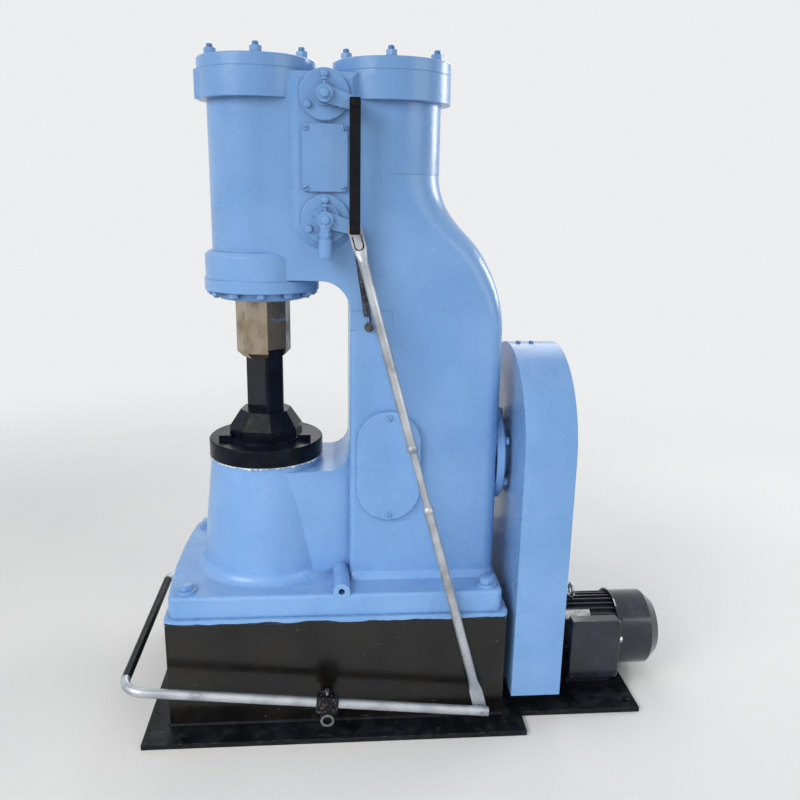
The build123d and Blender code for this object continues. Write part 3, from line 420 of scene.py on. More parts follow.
CAD_FINISHES = {
    BLUE_CAST: [
        "frame_casting", "ram_cylinder_cover", "compressor_cover", "ram_guide_ring", "bearing_housing",
    ],
    BLUE_SMOOTH: [
        "belt_guard", "upper_valve_lever", "lower_valve_lever",
        "upper_valve_cover", "upper_valve_cover_far", "lower_valve_cover", "lower_valve_cover_far",
        "valve_chest_plate", "valve_chest_plate_far", "inspection_cover", "inspection_cover_far",
    ],
    BLUE_DECK: ["deck_plate"],
    PLATE_BLACK: ["base_plate", "motor_plate"],
    BOX_BLACK: ["base_box"],
    TOOL_BLACK: ["anvil_block", "lower_die", "upper_die", "upper_die_key"],
    RAM_STEEL: ["ram"],
    MOTOR_DARK: [
        "motor_front_shield", "motor_frame", "motor_fan_cowl", "motor_terminal_box", "motor_terminal_lid",
    ],
    BAR_BLACK: ["link_bar", "treadle_foot_bar", "treadle_near_pivot", "treadle_far_pivot"],
    CLAMP_RUSTY: ["treadle_near_clamp", "treadle_far_clamp"],
    PIPE_SILVER: ["treadle_near_arm", "treadle_far_arm", "pull_rod"],
    ZINC: ["motor_lifting_eye"],
    SPRING_STEEL: ["return_spring", "spring_pin"],
}

# Angles above which an edge stays sharp
CAD_SHARP_ANGLE = 28
FASTENER_SHARP_ANGLE = 32
BEAD_SHARP_ANGLE = 60


def dress_cad_nodes():
    """Gives each CAD node its finish, with smooth shading broken at its real edges."""
    for finish, names in CAD_FINISHES.items():
        for name in names:
            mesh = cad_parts[name].data
            mesh.materials.clear()
            mesh.materials.append(finish)
            mesh.polygons.foreach_set("use_smooth", [True] * len(mesh.polygons))
            mesh.set_sharp_from_angle(angle=radians(CAD_SHARP_ANGLE))


# Mesh helpers, in millimetres
def stand(point, direction, turn=0.0):
    """Placement whose Z axis runs along direction from point, turned about it."""
    along = direction.to_track_quat("Z", "Y").to_matrix().to_4x4()
    return Matrix.Translation(Vector(point)) @ along @ Matrix.Rotation(radians(turn), 4, "Z")


def add_rings(mesh, place, rings, closed=False):
    """Skins a row of rings of points; a closed row joins its last ring to its first, another is capped."""
    loops = [[mesh.verts.new(place @ Vector(point)) for point in ring] for ring in rings]
    following = loops[1:] + loops[:1] if closed else loops[1:]
    for lower, upper in zip(loops, following):
        for i in range(len(lower)):
            j = (i + 1) % len(lower)
            mesh.faces.new((lower[i], lower[j], upper[j], upper[i]))
    if not closed:
        mesh.faces.new(loops[0][::-1])
        mesh.faces.new(loops[-1])


def add_turned(mesh, place, profile, segments=20):
    """A turned solid from (radius, height) pairs, bottom to top."""
    turns = [tau * i / segments for i in range(segments)]
    rings = [[(radius * cos(a), radius * sin(a), height) for a in turns] for radius, height in profile]
    add_rings(mesh, place, rings)


def add_collar(mesh, place, inner, outer, height, segments=36):
    """A flat ring with a hole."""
    section = ((inner, 0), (outer, 0), (outer, height), (inner, height))
    turns = [tau * i / segments for i in range(segments)]
    rings = [[(radius * cos(a), radius * sin(a), level) for radius, level in section] for a in turns]
    add_rings(mesh, place, rings, closed=True)


# Fasteners: width across flats of a hexagon for each thread diameter, and shares of the diameter
FLATS = {6: 10.0, 8: 13.0, 10: 16.0, 12: 18.0, 14: 22.0, 20: 30.0}
NUT_HEIGHT_SHARE = 0.9
HEAD_HEIGHT_SHARE = 0.65
WASHER_SHARE = 0.16
PITCH_SHARE = 0.13
THREAD_DEPTH_SHARE = 0.07

# Hexagon: steps round it, its chamfer's slope, and shares of its half width at the chamfer's foot and top
HEX_STEPS = 24
CHAMFER_SLOPE = 30
CHAMFER_FOOT_SHARE = 0.97
CHAMFER_TOP_SHARE = 0.95

# Washer: its radius as a share of the hexagon's width and its rim as a share of its thickness
WASHER_REACH_SHARE = 0.62
WASHER_RIM_SHARE = 0.25
WASHER_STEPS = 28

# Stud end: where it starts in its nut, the last thread and the tip
STUD_START_SHARE = 0.6
LAST_THREAD_SHARE = 0.96
LAST_THREAD_PLACE = 0.4
TIP_SHARE = 0.85
THREAD_STEPS = 16

# Slotted screw: half the slot's width, and shares of radius and height up the dome and at the slot's floor
SLOT_SHARE = 0.16
DOME_STEPS = 10
DOME_SHARES = ((1.0, 0.0), (1.0, 0.5), (0.9, 0.82), (0.66, 1.0))
SLOT_FLOOR_SHARES = (0.9, 0.45)

# Angles after which a head looks the same again
HEXAGON_REPEAT = 60
SLOT_REPEAT = 180


def add_hexagon(mesh, place, flats, height, start=0.0):
    """A hexagon nut or head with the round chamfer of its upper corners."""
    half = flats / 2
    top = half * CHAMFER_TOP_SHARE
    angles = [tau * i / HEX_STEPS for i in range(HEX_STEPS)]
    reach = [half / cos((angle + pi / 6) % (pi / 3) - pi / 6) for angle in angles]
    drop = [(r - half * CHAMFER_FOOT_SHARE) * tan(radians(CHAMFER_SLOPE)) for r in reach]
    rings = [
        [(r * cos(a), r * sin(a), start) for a, r in zip(angles, reach)],
        [(r * cos(a), r * sin(a), start + height - d) for a, r, d in zip(angles, reach, drop)],
        [(top * cos(a), top * sin(a), start + height) for a in angles],
    ]
    add_rings(mesh, place, rings)


def add_washer(mesh, place, thread):
    """A plain washer under a nut or head; returns its thickness."""
    thickness = thread * WASHER_SHARE
    radius = FLATS[thread] * WASHER_REACH_SHARE
    rim = thickness * WASHER_RIM_SHARE
    profile = [(radius, 0), (radius, thickness - rim), (radius - rim, thickness)]
    add_turned(mesh, place, profile, WASHER_STEPS)
    return thickness


def add_thread(mesh, place, thread, start, length):
    """The threaded end of a stud, with a chamfered tip."""
    radius = thread / 2
    root = radius - thread * THREAD_DEPTH_SHARE
    pitch = thread * PITCH_SHARE
    turns = max(1, int(length / pitch) - 1)
    profile = [(root, start)]
    for i in range(turns):
        profile += [(radius, start + (i + 0.5) * pitch), (root, start + (i + 1) * pitch)]
    profile.append((radius * LAST_THREAD_SHARE, start + (turns + LAST_THREAD_PLACE) * pitch))
    profile.append((root * TIP_SHARE, start + length))
    add_turned(mesh, place, profile, THREAD_STEPS)


def add_nut(mesh, place, thread, stud_rise):
    """A hexagon nut and the end of its stud."""
    height = thread * NUT_HEIGHT_SHARE
    add_hexagon(mesh, place, FLATS[thread], height)
    start = height * STUD_START_SHARE
    add_thread(mesh, place, thread, start, height - start + stud_rise)


def add_bolt(mesh, place, thread):
    """A washer and a hexagon head."""
    washer = add_washer(mesh, place, thread)
    add_hexagon(mesh, place, FLATS[thread], thread * HEAD_HEIGHT_SHARE, washer)


def add_slotted_screw(mesh, place, radius, height):
    """A domed screw head made of two halves either side of its driver slot."""
    slot = radius * SLOT_SHARE
    for side in (1, -1):
        rings = []
        for share, level in DOME_SHARES:
            reach = radius * share
            edge = pi / 2 - slot / reach
            arc = [edge * (2 * i / DOME_STEPS - 1) for i in range(DOME_STEPS + 1)]
            rings.append([(side * reach * cos(a), side * reach * sin(a), height * level) for a in arc])
        add_rings(mesh, place, rings)
    share, level = SLOT_FLOOR_SHARES
    add_turned(mesh, place, [(radius * share, 0), (radius * share, height * level)])


def link_piece(name, mesh, finish, body="machine", sharp=FASTENER_SHARP_ANGLE):
    """Turns a mesh in millimetres into a piece of the object that rides on a body."""
    bmesh.ops.recalc_face_normals(mesh, faces=mesh.faces)
    bmesh.ops.scale(mesh, vec=(MM, MM, MM), verts=mesh.verts)
    data = bpy.data.meshes.new(name)
    mesh.to_mesh(data)
    mesh.free()
    data.polygons.foreach_set("use_smooth", [True] * len(data.polygons))
    data.set_sharp_from_angle(angle=radians(sharp))
    data.materials.append(finish)
    piece = bpy.data.objects.new(name, data)
    bpy.context.scene.collection.objects.link(piece)
    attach(piece, body)


def ring_points(centre, radius, count, start, across=REAR, along=FAR):
    """Points evenly round a circle, from a start angle."""
    angles = [radians(start + 360 * i / count) for i in range(count)]
    return [centre + across * (radius * cos(a)) + along * (radius * sin(a)) for a in angles]


def any_turn(repeat=HEXAGON_REPEAT):
    """A head's chance position after tightening."""
    return random.uniform(0, repeat)


# Cylinder fasteners
COVER_STUD_THREAD = 14
COVER_STUD_INSET = 18.0
COVER_STUD_RISE = 8.0
COVER_STUD_COUNT = 6
COVER_STUD_STARTS = {"ram_cylinder_cover": -86, "compressor_cover": -95}
GLAND_BOLT_THREAD = 12
GLAND_BOLT_OUTSET = 13.0
GLAND_BOLT_RISE = 4.0
GLAND_BOLT_COUNT = 12
GLAND_BOLT_START = -87


def make_cylinder_fasteners():
    """Studs and nuts on the two cylinder covers, and the gland bolts that hang below the ram cylinder."""
    mesh = bmesh.new()
    for node, start in COVER_STUD_STARTS.items():
        low, high = span(node)
        centre = Vector(((low.x + high.x) / 2, 0, high.z))
        circle = (high.x - low.x) / 2 - COVER_STUD_INSET
        for point in ring_points(centre, circle, COVER_STUD_COUNT, start):
            add_nut(mesh, stand(point, UP, any_turn()), COVER_STUD_THREAD, COVER_STUD_RISE)
    link_piece("cover_studs", mesh, BLUE_SMOOTH)

    mesh = bmesh.new()
    high = span("ram_guide_ring")[1]
    circle = high.x + GLAND_BOLT_OUTSET
    for point in ring_points(Vector((0, 0, high.z)), circle, GLAND_BOLT_COUNT, GLAND_BOLT_START):
        add_nut(mesh, stand(point, DOWN, any_turn()), GLAND_BOLT_THREAD, GLAND_BOLT_RISE)
    link_piece("gland_bolts", mesh, BLUE_SMOOTH)


# Valve chest fasteners
VALVE_BOLT_THREAD = 8
VALVE_BOLT_CIRCLE = 38.5
VALVE_BOLT_COUNT = 3
VALVE_BOLT_START = 90
CHEST_SCREW_INSET = 7.2
CHEST_SCREW = (6.0, 4.2)
INSPECTION_SCREW_INSET = 14.0
INSPECTION_SCREW = (7.0, 4.6)


def make_chest_fasteners():
    """Bolts of the valve covers, corner screws of the chest plates and screws of the inspection covers."""
    bolts = bmesh.new()
    screws = bmesh.new()
    for suffix, out in (("", NEAR), ("_far", FAR)):
        for node in ("upper_valve_cover" + suffix, "lower_valve_cover" + suffix):
            centre = middle(node) + out * SIGHT_GAP
            circle = ring_points(centre, VALVE_BOLT_CIRCLE, VALVE_BOLT_COUNT, VALVE_BOLT_START, REAR, UP)
            for point in circle:
                place = stand(seat(node, point, -out), out, any_turn())
                add_bolt(bolts, place, VALVE_BOLT_THREAD)
        node = "valve_chest_plate" + suffix
        low, high = span(node)
        start = middle(node) + out * SIGHT_GAP
        for x in (low.x + CHEST_SCREW_INSET, high.x - CHEST_SCREW_INSET):
            for z in (low.z + CHEST_SCREW_INSET, high.z - CHEST_SCREW_INSET):
                point = seat(node, (x, start.y, z), -out)
                add_slotted_screw(screws, stand(point, out, any_turn(SLOT_REPEAT)), *CHEST_SCREW)
        node = "inspection_cover" + suffix
        low, high = span(node)
        start = middle(node) + out * SIGHT_GAP
        for z in (low.z + INSPECTION_SCREW_INSET, high.z - INSPECTION_SCREW_INSET):
            point = seat(node, (start.x, start.y, z), -out)
            add_slotted_screw(screws, stand(point, out, any_turn(SLOT_REPEAT)), *INSPECTION_SCREW)
    link_piece("valve_cover_bolts", bolts, BLUE_SMOOTH)
    link_piece("cover_screws", screws, BLUE_SMOOTH)


# Lever and linkage fasteners, placed from the front of each valve cover's boss
HUB_REACH = 20.0
HUB_MIDDLE = 11.0
HUB_RADIUS = 17.0
HUB_BOLT_THREAD = 10
PIN_BOLT_THREAD = 8
SET_SCREW_PROFILE = ((2.6, -2.0), (2.6, 8.0), (6.0, 8.6), (6.5, 11.0), (5.2, 13.0))
STUB_SLEEVE = 38.0
STUB_NUT = (22.8, 9.0)
STUB_NUT_LIFT = 5.0
FLAT_TO_COVER = 30

# Stop plate: angles once round its middle, each with the radius that holds up to the next one
STOP_PLATE_OUTLINE = (
    (14, 23), (16, 31), (84, 31), (86, 33), (97, 33), (100, 26),
    (140, 26), (143, 29), (163, 29), (166, 23), (374, 23),
)
STOP_PLATE_STEP = 4
STOP_PLATE_THICKNESS = 5.0


def link_pin(end):
    """Centre of the link bar's upper or lower pin, at depth zero."""
    low, high = span("link_bar")
    half = (high.x - low.x) / 2
    level = high.z - half if end == "upper" else low.z + half
    return Vector((low.x + half, 0, level))


def make_linkage_fasteners():
    """Bolts and set screws of the lever hubs, bolts at the link bar's pins, lock nut and stop plate."""
    for name in ("upper", "lower"):
        centre = middle(name + "_valve_cover")
        boss = span(name + "_valve_cover")[0].y
        mesh = bmesh.new()
        add_bolt(mesh, stand((centre.x, boss - HUB_REACH, centre.z), NEAR, any_turn()), HUB_BOLT_THREAD)
        hub_top = (centre.x, boss - HUB_MIDDLE, centre.z + HUB_RADIUS)
        add_turned(mesh, stand(hub_top, UP), SET_SCREW_PROFILE)
        if name == "lower":
            nut_foot = span("lower_valve_lever")[0].z + STUB_SLEEVE + STUB_NUT_LIFT
            add_hexagon(mesh, stand((centre.x, boss - HUB_MIDDLE, nut_foot), UP, FLAT_TO_COVER), *STUB_NUT)
        link_piece(name + "_hub_fittings", mesh, BLUE_SMOOTH, name + "_lever")
        mesh = bmesh.new()
        pin = link_pin(name)
        pin.y = span(name + "_valve_lever")[0].y
        add_bolt(mesh, stand(pin, NEAR, any_turn()), PIN_BOLT_THREAD)
        link_piece(name + "_pin_bolt", mesh, BAR_BLACK, name + "_lever")

    centre = middle("lower_valve_cover")
    face = seat("lower_valve_cover", centre + NEAR * SIGHT_GAP + REAR * VALVE_BOLT_CIRCLE, FAR)
    outline = []
    for (start, radius), (end, _) in zip(STOP_PLATE_OUTLINE, STOP_PLATE_OUTLINE[1:]):
        outline += [(radius, radians(angle)) for angle in range(start, end, STOP_PLATE_STEP)]
    flat = [(radius * cos(angle), radius * sin(angle)) for radius, angle in outline]
    depths = (face.y, face.y - STOP_PLATE_THICKNESS)
    rings = [[(centre.x + x, y, centre.z + z) for x, z in flat] for y in depths]
    mesh = bmesh.new()
    add_rings(mesh, Matrix.Identity(4), rings)
    link_piece("lower_stop_plate", mesh, BLUE_SMOOTH)


# Treadle fasteners
CLAMP_SCREW_THREAD = 6
CLAMP_SCREW_RISE = 9.0
CLAMP_SCREW_SINK = 1.0
BUSH_FACE_SHARES = (0.62, 0.94)
BUSH_FACE_THICKNESS = 1.2


def make_treadle_fasteners():
    """Set screws on top of the two treadle clamps and the rubbed faces of their bushes."""
    mesh = bmesh.new()
    for side, out in (("near", NEAR), ("far", FAR)):
        clamp = "treadle_" + side + "_clamp"
        low, high = span(clamp)
        centre = middle(clamp)
        top = seat(clamp, (centre.x, centre.y, high.z + SIGHT_GAP), DOWN)
        shank = CLAMP_SCREW_RISE + 2 * CLAMP_SCREW_SINK
        add_thread(mesh, stand(top, UP), CLAMP_SCREW_THREAD, -CLAMP_SCREW_SINK, shank)
        head = (FLATS[CLAMP_SCREW_THREAD], CLAMP_SCREW_THREAD * HEAD_HEIGHT_SHARE)
        add_hexagon(mesh, stand(top, UP, any_turn()), *head, CLAMP_SCREW_RISE)
        pivot_low, pivot_high = span("treadle_" + side + "_pivot")
        radius = (pivot_high.x - pivot_low.x) / 2
        pivot = middle("treadle_" + side + "_pivot")
        face = low.y if out is NEAR else high.y
        inner, outer = (radius * share for share in BUSH_FACE_SHARES)
        add_collar(mesh, stand((pivot.x, face, pivot.z), out), inner, outer, BUSH_FACE_THICKNESS)
    link_piece("treadle_fasteners", mesh, WORN_STEEL, "treadle")


# Frame fasteners
FOUNDATION_BOLT_THREAD = 20
FOUNDATION_BOLT_INSETS = {"front": 45.0, "rear": 46.0, "side": 43.0}
BEARING_BOLT_THREAD = 12
BEARING_BOLT_CIRCLE = 97.0
BEARING_BOLT_COUNT = 6
BEARING_BOLT_START = 30
GUARD_BOLT_THREAD = 6
GUARD_BOLT_PLACES = (23.0, 54.0)
PLATE_BOLT_THREAD = 8
PLATE_BOLT_INSETS = (
    ("base_plate", 85.0, 9.0),
    ("motor_plate", 10.0, 15.0),
    ("motor_plate", 136.0, 23.0),
    ("motor_plate", 265.0, 27.0),
)


def make_frame_fasteners():
    """Foundation bolts at the foot's corners, bearing bolts, guard bolts and the bolts of the plates."""
    mesh = bmesh.new()
    low, high = span("deck_plate")
    top = span("frame_casting")[1].z
    insets = FOUNDATION_BOLT_INSETS
    head = (FLATS[FOUNDATION_BOLT_THREAD], FOUNDATION_BOLT_THREAD * HEAD_HEIGHT_SHARE)
    for x in (low.x + insets["front"], high.x - insets["rear"]):
        for y in (low.y + insets["side"], high.y - insets["side"]):
            point = seat("frame_casting", (x, y, top), DOWN)
            add_hexagon(mesh, stand(point, UP, any_turn()), *head)
    link_piece("foundation_bolts", mesh, BLUE_SMOOTH)

    mesh = bmesh.new()
    centre = middle("bearing_housing") + REAR * SIGHT_GAP
    circle = ring_points(centre, BEARING_BOLT_CIRCLE, BEARING_BOLT_COUNT, BEARING_BOLT_START, FAR, UP)
    for point in circle:
        place = stand(seat("bearing_housing", point, FRONT), REAR, any_turn())
        add_bolt(mesh, place, BEARING_BOLT_THREAD)
    link_piece("bearing_bolts", mesh, BLUE_SMOOTH)

    mesh = bmesh.new()
    low, high = span("belt_guard")
    for inset in GUARD_BOLT_PLACES:
        add_bolt(mesh, stand((low.x + inset, 0, high.z), UP, any_turn()), GUARD_BOLT_THREAD)
    link_piece("guard_bolts", mesh, BLUE_SMOOTH)

    mesh = bmesh.new()
    for node, from_front, from_side in PLATE_BOLT_INSETS:
        low, high = span(node)
        for y in (low.y + from_side, high.y - from_side):
            place = stand((low.x + from_front, y, high.z), UP, any_turn())
            add_bolt(mesh, place, PLATE_BOLT_THREAD)
    link_piece("plate_bolts", mesh, BAR_BLACK)


# Motor fittings
LID_SCREW_INSET = 7.0
LID_SCREW = (3.4, 2.4)
GLAND_RISE = 89.0
GLAND_NUT = (18.0, 6.0)
GLAND_CAP_PROFILE = ((7.6, 5.0), (7.6, 11.0), (6.6, 14.0), (4.6, 15.4), (4.4, 12.0))
COWL_SCREW_INSET = 12.0
COWL_SCREW_ANGLES = (40, 140, 220, 320)
COWL_SCREW = (4.0, 2.6)
FOOT_BOLT_THREAD = 8
FOOT_BOLT_REACH = 40.0
FOOT_BOLT_EDGE = 10.0
STRIP_LIFT = 0.2
STRIP_THICKNESS = 1.2
STRIP_PLACES = (16.0, 80.0)
STRIP_ANGLES = (122.6, 137.3)
STRIP_STEPS = 6


def make_motor_fittings():
    """Terminal lid screws, cable gland, foot bolts, cowl screws and the blank metal strip on the fins."""
    mesh = bmesh.new()
    low, high = span("motor_terminal_box")
    gland = stand((high.x, (low.y + high.y) / 2, low.z + GLAND_RISE), REAR)
    add_hexagon(mesh, gland, *GLAND_NUT)
    add_turned(mesh, gland, GLAND_CAP_PROFILE)
    link_piece("cable_gland", mesh, ZINC)

    mesh = bmesh.new()
    low, high = span("motor_terminal_lid")
    for x in (low.x + LID_SCREW_INSET, high.x - LID_SCREW_INSET):
        for z in (low.z + LID_SCREW_INSET, high.z - LID_SCREW_INSET):
            add_slotted_screw(mesh, stand((x, low.y, z), NEAR, any_turn(SLOT_REPEAT)), *LID_SCREW)
    cowl = middle("motor_fan_cowl")
    low, high = span("motor_fan_cowl")
    for angle in COWL_SCREW_ANGLES:
        out = FAR * cos(radians(angle)) + UP * sin(radians(angle))
        start = Vector((low.x + COWL_SCREW_INSET, cowl.y, cowl.z)) + out * (high.z - low.z)
        add_slotted_screw(mesh, stand(seat("motor_fan_cowl", start, -out), out, any_turn()), *COWL_SCREW)
    feet = middle("motor_frame")
    low, high = span("motor_frame")
    plate_top = span("motor_plate")[1].z
    for x in (feet.x - FOOT_BOLT_REACH, feet.x + FOOT_BOLT_REACH):
        for y in (low.y + FOOT_BOLT_EDGE, 2 * cowl.y - low.y - FOOT_BOLT_EDGE):
            foot_top = seat("motor_frame", (x, y, plate_top + SIGHT_GAP), DOWN)
            add_bolt(mesh, stand(foot_top, UP, any_turn()), FOOT_BOLT_THREAD)
    link_piece("motor_screws", mesh, MOTOR_DARK)

    mesh = bmesh.new()
    radius = high.z - cowl.z + STRIP_LIFT
    front, rear = (low.x + place for place in STRIP_PLACES)
    first, last = STRIP_ANGLES
    rings = []
    for i in range(STRIP_STEPS + 1):
        angle = radians(first + (last - first) * i / STRIP_STEPS)
        out = FAR * cos(angle) + UP * sin(angle)
        foot = Vector((0, cowl.y, cowl.z)) + out * radius
        skin = foot + out * STRIP_THICKNESS
        rings.append([foot + REAR * front, foot + REAR * rear, skin + REAR * rear, skin + REAR * front])
    add_rings(mesh, Matrix.Identity(4), rings)
    link_piece("motor_strip", mesh, ZINC)


# Base weld: its size and ripples, and shares of the size
WELD_SIZE = 5.0
WELD_STEP = 4.5
WELD_OVERLAP = 1.0
WELD_HOLLOW_SHARE = 0.86
WELD_RIPPLE_SHARE = 0.2
WELD_CHANCE_SHARE = 0.06
WELD_BULGE_SHARE = 0.66


def make_base_weld():
    """The fillet weld that joins the base box to its plate, with the ripples of a hand-laid bead."""
    low, high = span("base_box")
    corners = [(low.x, low.y), (high.x, low.y), (high.x, high.y), (low.x, high.y)]
    corners = [Vector((x, y, low.z)) for x, y in corners]
    mesh = bmesh.new()
    for first, last in zip(corners, corners[1:] + corners[:1]):
        run = (last - first).normalized()
        out = run.cross(UP)
        count = 2 * int((last - first).length / WELD_STEP)
        rings = []
        for i in range(count + 1):
            chance = random.uniform(-WELD_CHANCE_SHARE, WELD_CHANCE_SHARE)
            swell = WELD_SIZE * (WELD_HOLLOW_SHARE + WELD_RIPPLE_SHARE * (i % 2) + chance)
            base = first + (last - first) * (i / count)
            inside = base - out * WELD_OVERLAP
            rings.append([
                inside,
                base + out * swell,
                base + (out + UP) * (swell * WELD_BULGE_SHARE),
                base + UP * swell,
                inside + UP * swell,
            ])
        add_rings(mesh, Matrix.Identity(4), rings)
    link_piece("base_weld", mesh, PLATE_BLACK, sharp=BEAD_SHARP_ANGLE)


# Weld of the pull rod's upper end: where the tongue lies, measured from its pin, and the bead round it
TONGUE_HALF_WIDTH = 9.0
TONGUE_START = 14.0
TONGUE_END = 44.0
TONGUE_SIDE_STEPS = 12
TONGUE_BEND_STEPS = 14
BEAD_RADIUS = 1.5
BEAD_SWELLS = (0.7, 1.2)
BEAD_ANGLES = (-20, 35, 90, 145, 200)


def make_rod_weld():
    """The rough weld round the flat tongue that is let into the pull rod's upper end."""
    pin = link_pin("lower")
    low, high = span("pull_rod")
    eye = pin.x - low.x
    run = (Vector((high.x - eye, 0, low.z + eye)) - pin).normalized()
    side = run.cross(NEAR)
    face = seat("pull_rod", pin + run * TONGUE_START + NEAR * (SIGHT_GAP - low.y), FAR)
    bend = TONGUE_END - TONGUE_HALF_WIDTH
    straight = bend - TONGUE_START
    reaches = [TONGUE_START + straight * i / TONGUE_SIDE_STEPS for i in range(TONGUE_SIDE_STEPS)]
    turns = [pi * i / TONGUE_BEND_STEPS for i in range(TONGUE_BEND_STEPS + 1)]
    path = [(reach, -TONGUE_HALF_WIDTH) for reach in reaches]
    path += [(bend + TONGUE_HALF_WIDTH * sin(a), -TONGUE_HALF_WIDTH * cos(a)) for a in turns]
    path += [(reach, TONGUE_HALF_WIDTH) for reach in reversed(reaches)]
    points = [pin + run * reach + side * across + FAR * face.y for reach, across in path]
    rings = []
    for before, point, after in zip(points[:1] + points, points, points[1:] + points[-1:]):
        across = (after - before).normalized().cross(NEAR)
        swell = BEAD_RADIUS * random.uniform(*BEAD_SWELLS)
        section = [across * cos(radians(a)) + NEAR * sin(radians(a)) for a in BEAD_ANGLES]
        rings.append([point + edge * swell for edge in section])
    mesh = bmesh.new()
    add_rings(mesh, Matrix.Identity(4), rings)
    link_piece("rod_eye_weld", mesh, CLAMP_RUSTY, "rod", sharp=BEAD_SHARP_ANGLE)


# Sealant under the anvil block; its section is in shares of its reach and its drop
SEALANT_INSET = 6.0
SEALANT_PROUD = 1.0
SEALANT_DROP = 2.8
SEALANT_STEPS = 420
SEALANT_WAVES = (5, 11, 23, 41, 67)
SEALANT_WAVE_SIZES = (0.25, 0.5)
SEALANT_LEAST = 0.25
SEALANT_SECTION = ((0.0, 0.0), (1.0, 0.0), (0.97, 0.6), (0.8, 1.0), (0.0, 1.0))


def make_sealant():
    """A ragged squeezed-out line of sealant between the pedestal and the anvil block."""
    low, high = span("anvil_block")
    radius = (high.x - low.x) / 2
    waves = []
    for count in SEALANT_WAVES:
        waves.append((count, random.uniform(0, tau), random.uniform(*SEALANT_WAVE_SIZES)))
    rings = []
    for i in range(SEALANT_STEPS):
        angle = tau * i / SEALANT_STEPS
        ragged = sum(size * sin(count * angle + phase) for count, phase, size in waves)
        swell = max(SEALANT_LEAST, 1 + ragged)
        out = Vector((cos(angle), sin(angle), 0))
        base = out * (radius - SEALANT_INSET) + UP * low.z
        reach = out * (SEALANT_INSET + SEALANT_PROUD * swell)
        drop = DOWN * (SEALANT_DROP * swell)
        rings.append([base + reach * across + drop * down for across, down in SEALANT_SECTION])
    mesh = bmesh.new()
    add_rings(mesh, Matrix.Identity(4), rings, closed=True)
    link_piece("anvil_sealant", mesh, SEALANT, sharp=BEAD_SHARP_ANGLE)


# Return spring
COIL_RADIUS = 5.9
WIRE_RADIUS = 1.6
WIRE_ROUNDNESS = 2
COIL_PITCH = 3.45
HOOK_LENGTH = 22.0
HOOK_RADIUS = 6.8
HOOK_STEPS = 9
HOOK_STEP_ANGLE = 35
HOOK_STARTS = (-60, -40)
POINTS_PER_TURN = 14


def make_spring():
    """The tension spring with its two hooks, built as one fixed coil in place of the CAD spring."""
    low, high = span("return_spring")
    foot = middle("spring_pin")
    foot.y = (low.y + high.y) / 2
    top = link_pin("lower") + FAR * foot.y
    run = (foot - top).normalized()
    side = run.cross(FAR).normalized()
    coil = (foot - top).length - 2 * HOOK_LENGTH
    steps = int(coil / COIL_PITCH) * POINTS_PER_TURN
    turns = [HOOK_STEP_ANGLE * i for i in range(HOOK_STEPS)]
    upper_hook, lower_hook = ([radians(start + turn) for turn in turns] for start in HOOK_STARTS)
    points = [top + side * (HOOK_RADIUS * sin(a)) - run * (HOOK_RADIUS * cos(a)) for a in upper_hook]
    for i in range(steps + 1):
        angle = tau * i / POINTS_PER_TURN
        ring = side * (COIL_RADIUS * cos(angle)) + FAR * (COIL_RADIUS * sin(angle))
        points.append(top + run * (HOOK_LENGTH + coil * i / steps) + ring)
    points += [foot - side * (HOOK_RADIUS * sin(a)) + run * (HOOK_RADIUS * cos(a)) for a in lower_hook]

    curve = bpy.data.curves.new("spring_path", "CURVE")
    curve.dimensions = "3D"
    curve.bevel_depth = WIRE_RADIUS * MM
    curve.bevel_resolution = WIRE_ROUNDNESS
    curve.use_fill_caps = True
    spline = curve.splines.new("POLY")
    spline.points.add(len(points) - 1)
    for target, point in zip(spline.points, points):
        target.co = (*(point * MM), 1.0)
    path = bpy.data.objects.new("spring_path", curve)
    bpy.context.scene.collection.objects.link(path)
    bpy.context.view_layer.update()
    wire = bpy.data.meshes.new_from_object(path.evaluated_get(bpy.context.evaluated_depsgraph_get()))
    bpy.data.objects.remove(path)
    wire.name = "spring_coil"
    wire.materials.clear()
    wire.materials.append(SPRING_STEEL)
    wire.polygons.foreach_set("use_smooth", [True] * len(wire.polygons))
    piece = bpy.data.objects.new("spring_coil", wire)
    bpy.context.scene.collection.objects.link(piece)
    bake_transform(piece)
    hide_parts("return_spring")


# Floor, light and camera at the photograph's viewpoint
FLOOR_SIZE = 24000.0
FLOOR_TONES = ((0.62, 0.62, 0.62, 1.0), (0.66, 0.66, 0.65, 1.0))
FLOOR_BLOTCH = 900.0
FLOOR_ROUGHNESS = 0.85
FADE_START = 900.0
FADE_END = 3400.0
MACHINE_MIDDLE = (200, 0, 700)
MACHINE_FOOT = (200, -100, 60)

# Name, place, target, size, power in watts, spread and colour of each lamp
LAMPS = (
    ("key", (-2800, -2600, 3200), MACHINE_MIDDLE, 2300.0, 132.0, 180.0, (1.0, 0.98, 0.95)),
    ("foot", (-400, -2500, 1150), MACHINE_FOOT, 1200.0, 3.6, 52.0, (1.0, 0.99, 0.97)),
    ("fill", (3200, -2200, 2200), MACHINE_MIDDLE, 2200.0, 34.0, 180.0, (0.95, 0.98, 1.0)),
    ("back", (600, 3000, 3000), MACHINE_MIDDLE, 2600.0, 50.0, 180.0, (1.0, 1.0, 1.0)),
    ("window", (3000, 1300, 1700), MACHINE_MIDDLE, 1000.0, 34.0, 180.0, (1.0, 1.0, 1.0)),
)
WORLD_LIGHT = 0.44
WORLD_TINT = (0.93, 0.96, 1.0, 1.0)
BACKDROP = (0.84, 0.85, 0.86, 1.0)
CAMERA_PLACE = Vector((158.1, -1810.2, 1194.1))
CAMERA_YAW = -4.909
CAMERA_PITCH = 14.792
CAMERA_ROLL = 1.028
CAMERA_LENS = 35.86
SENSOR_WIDTH = 36.0


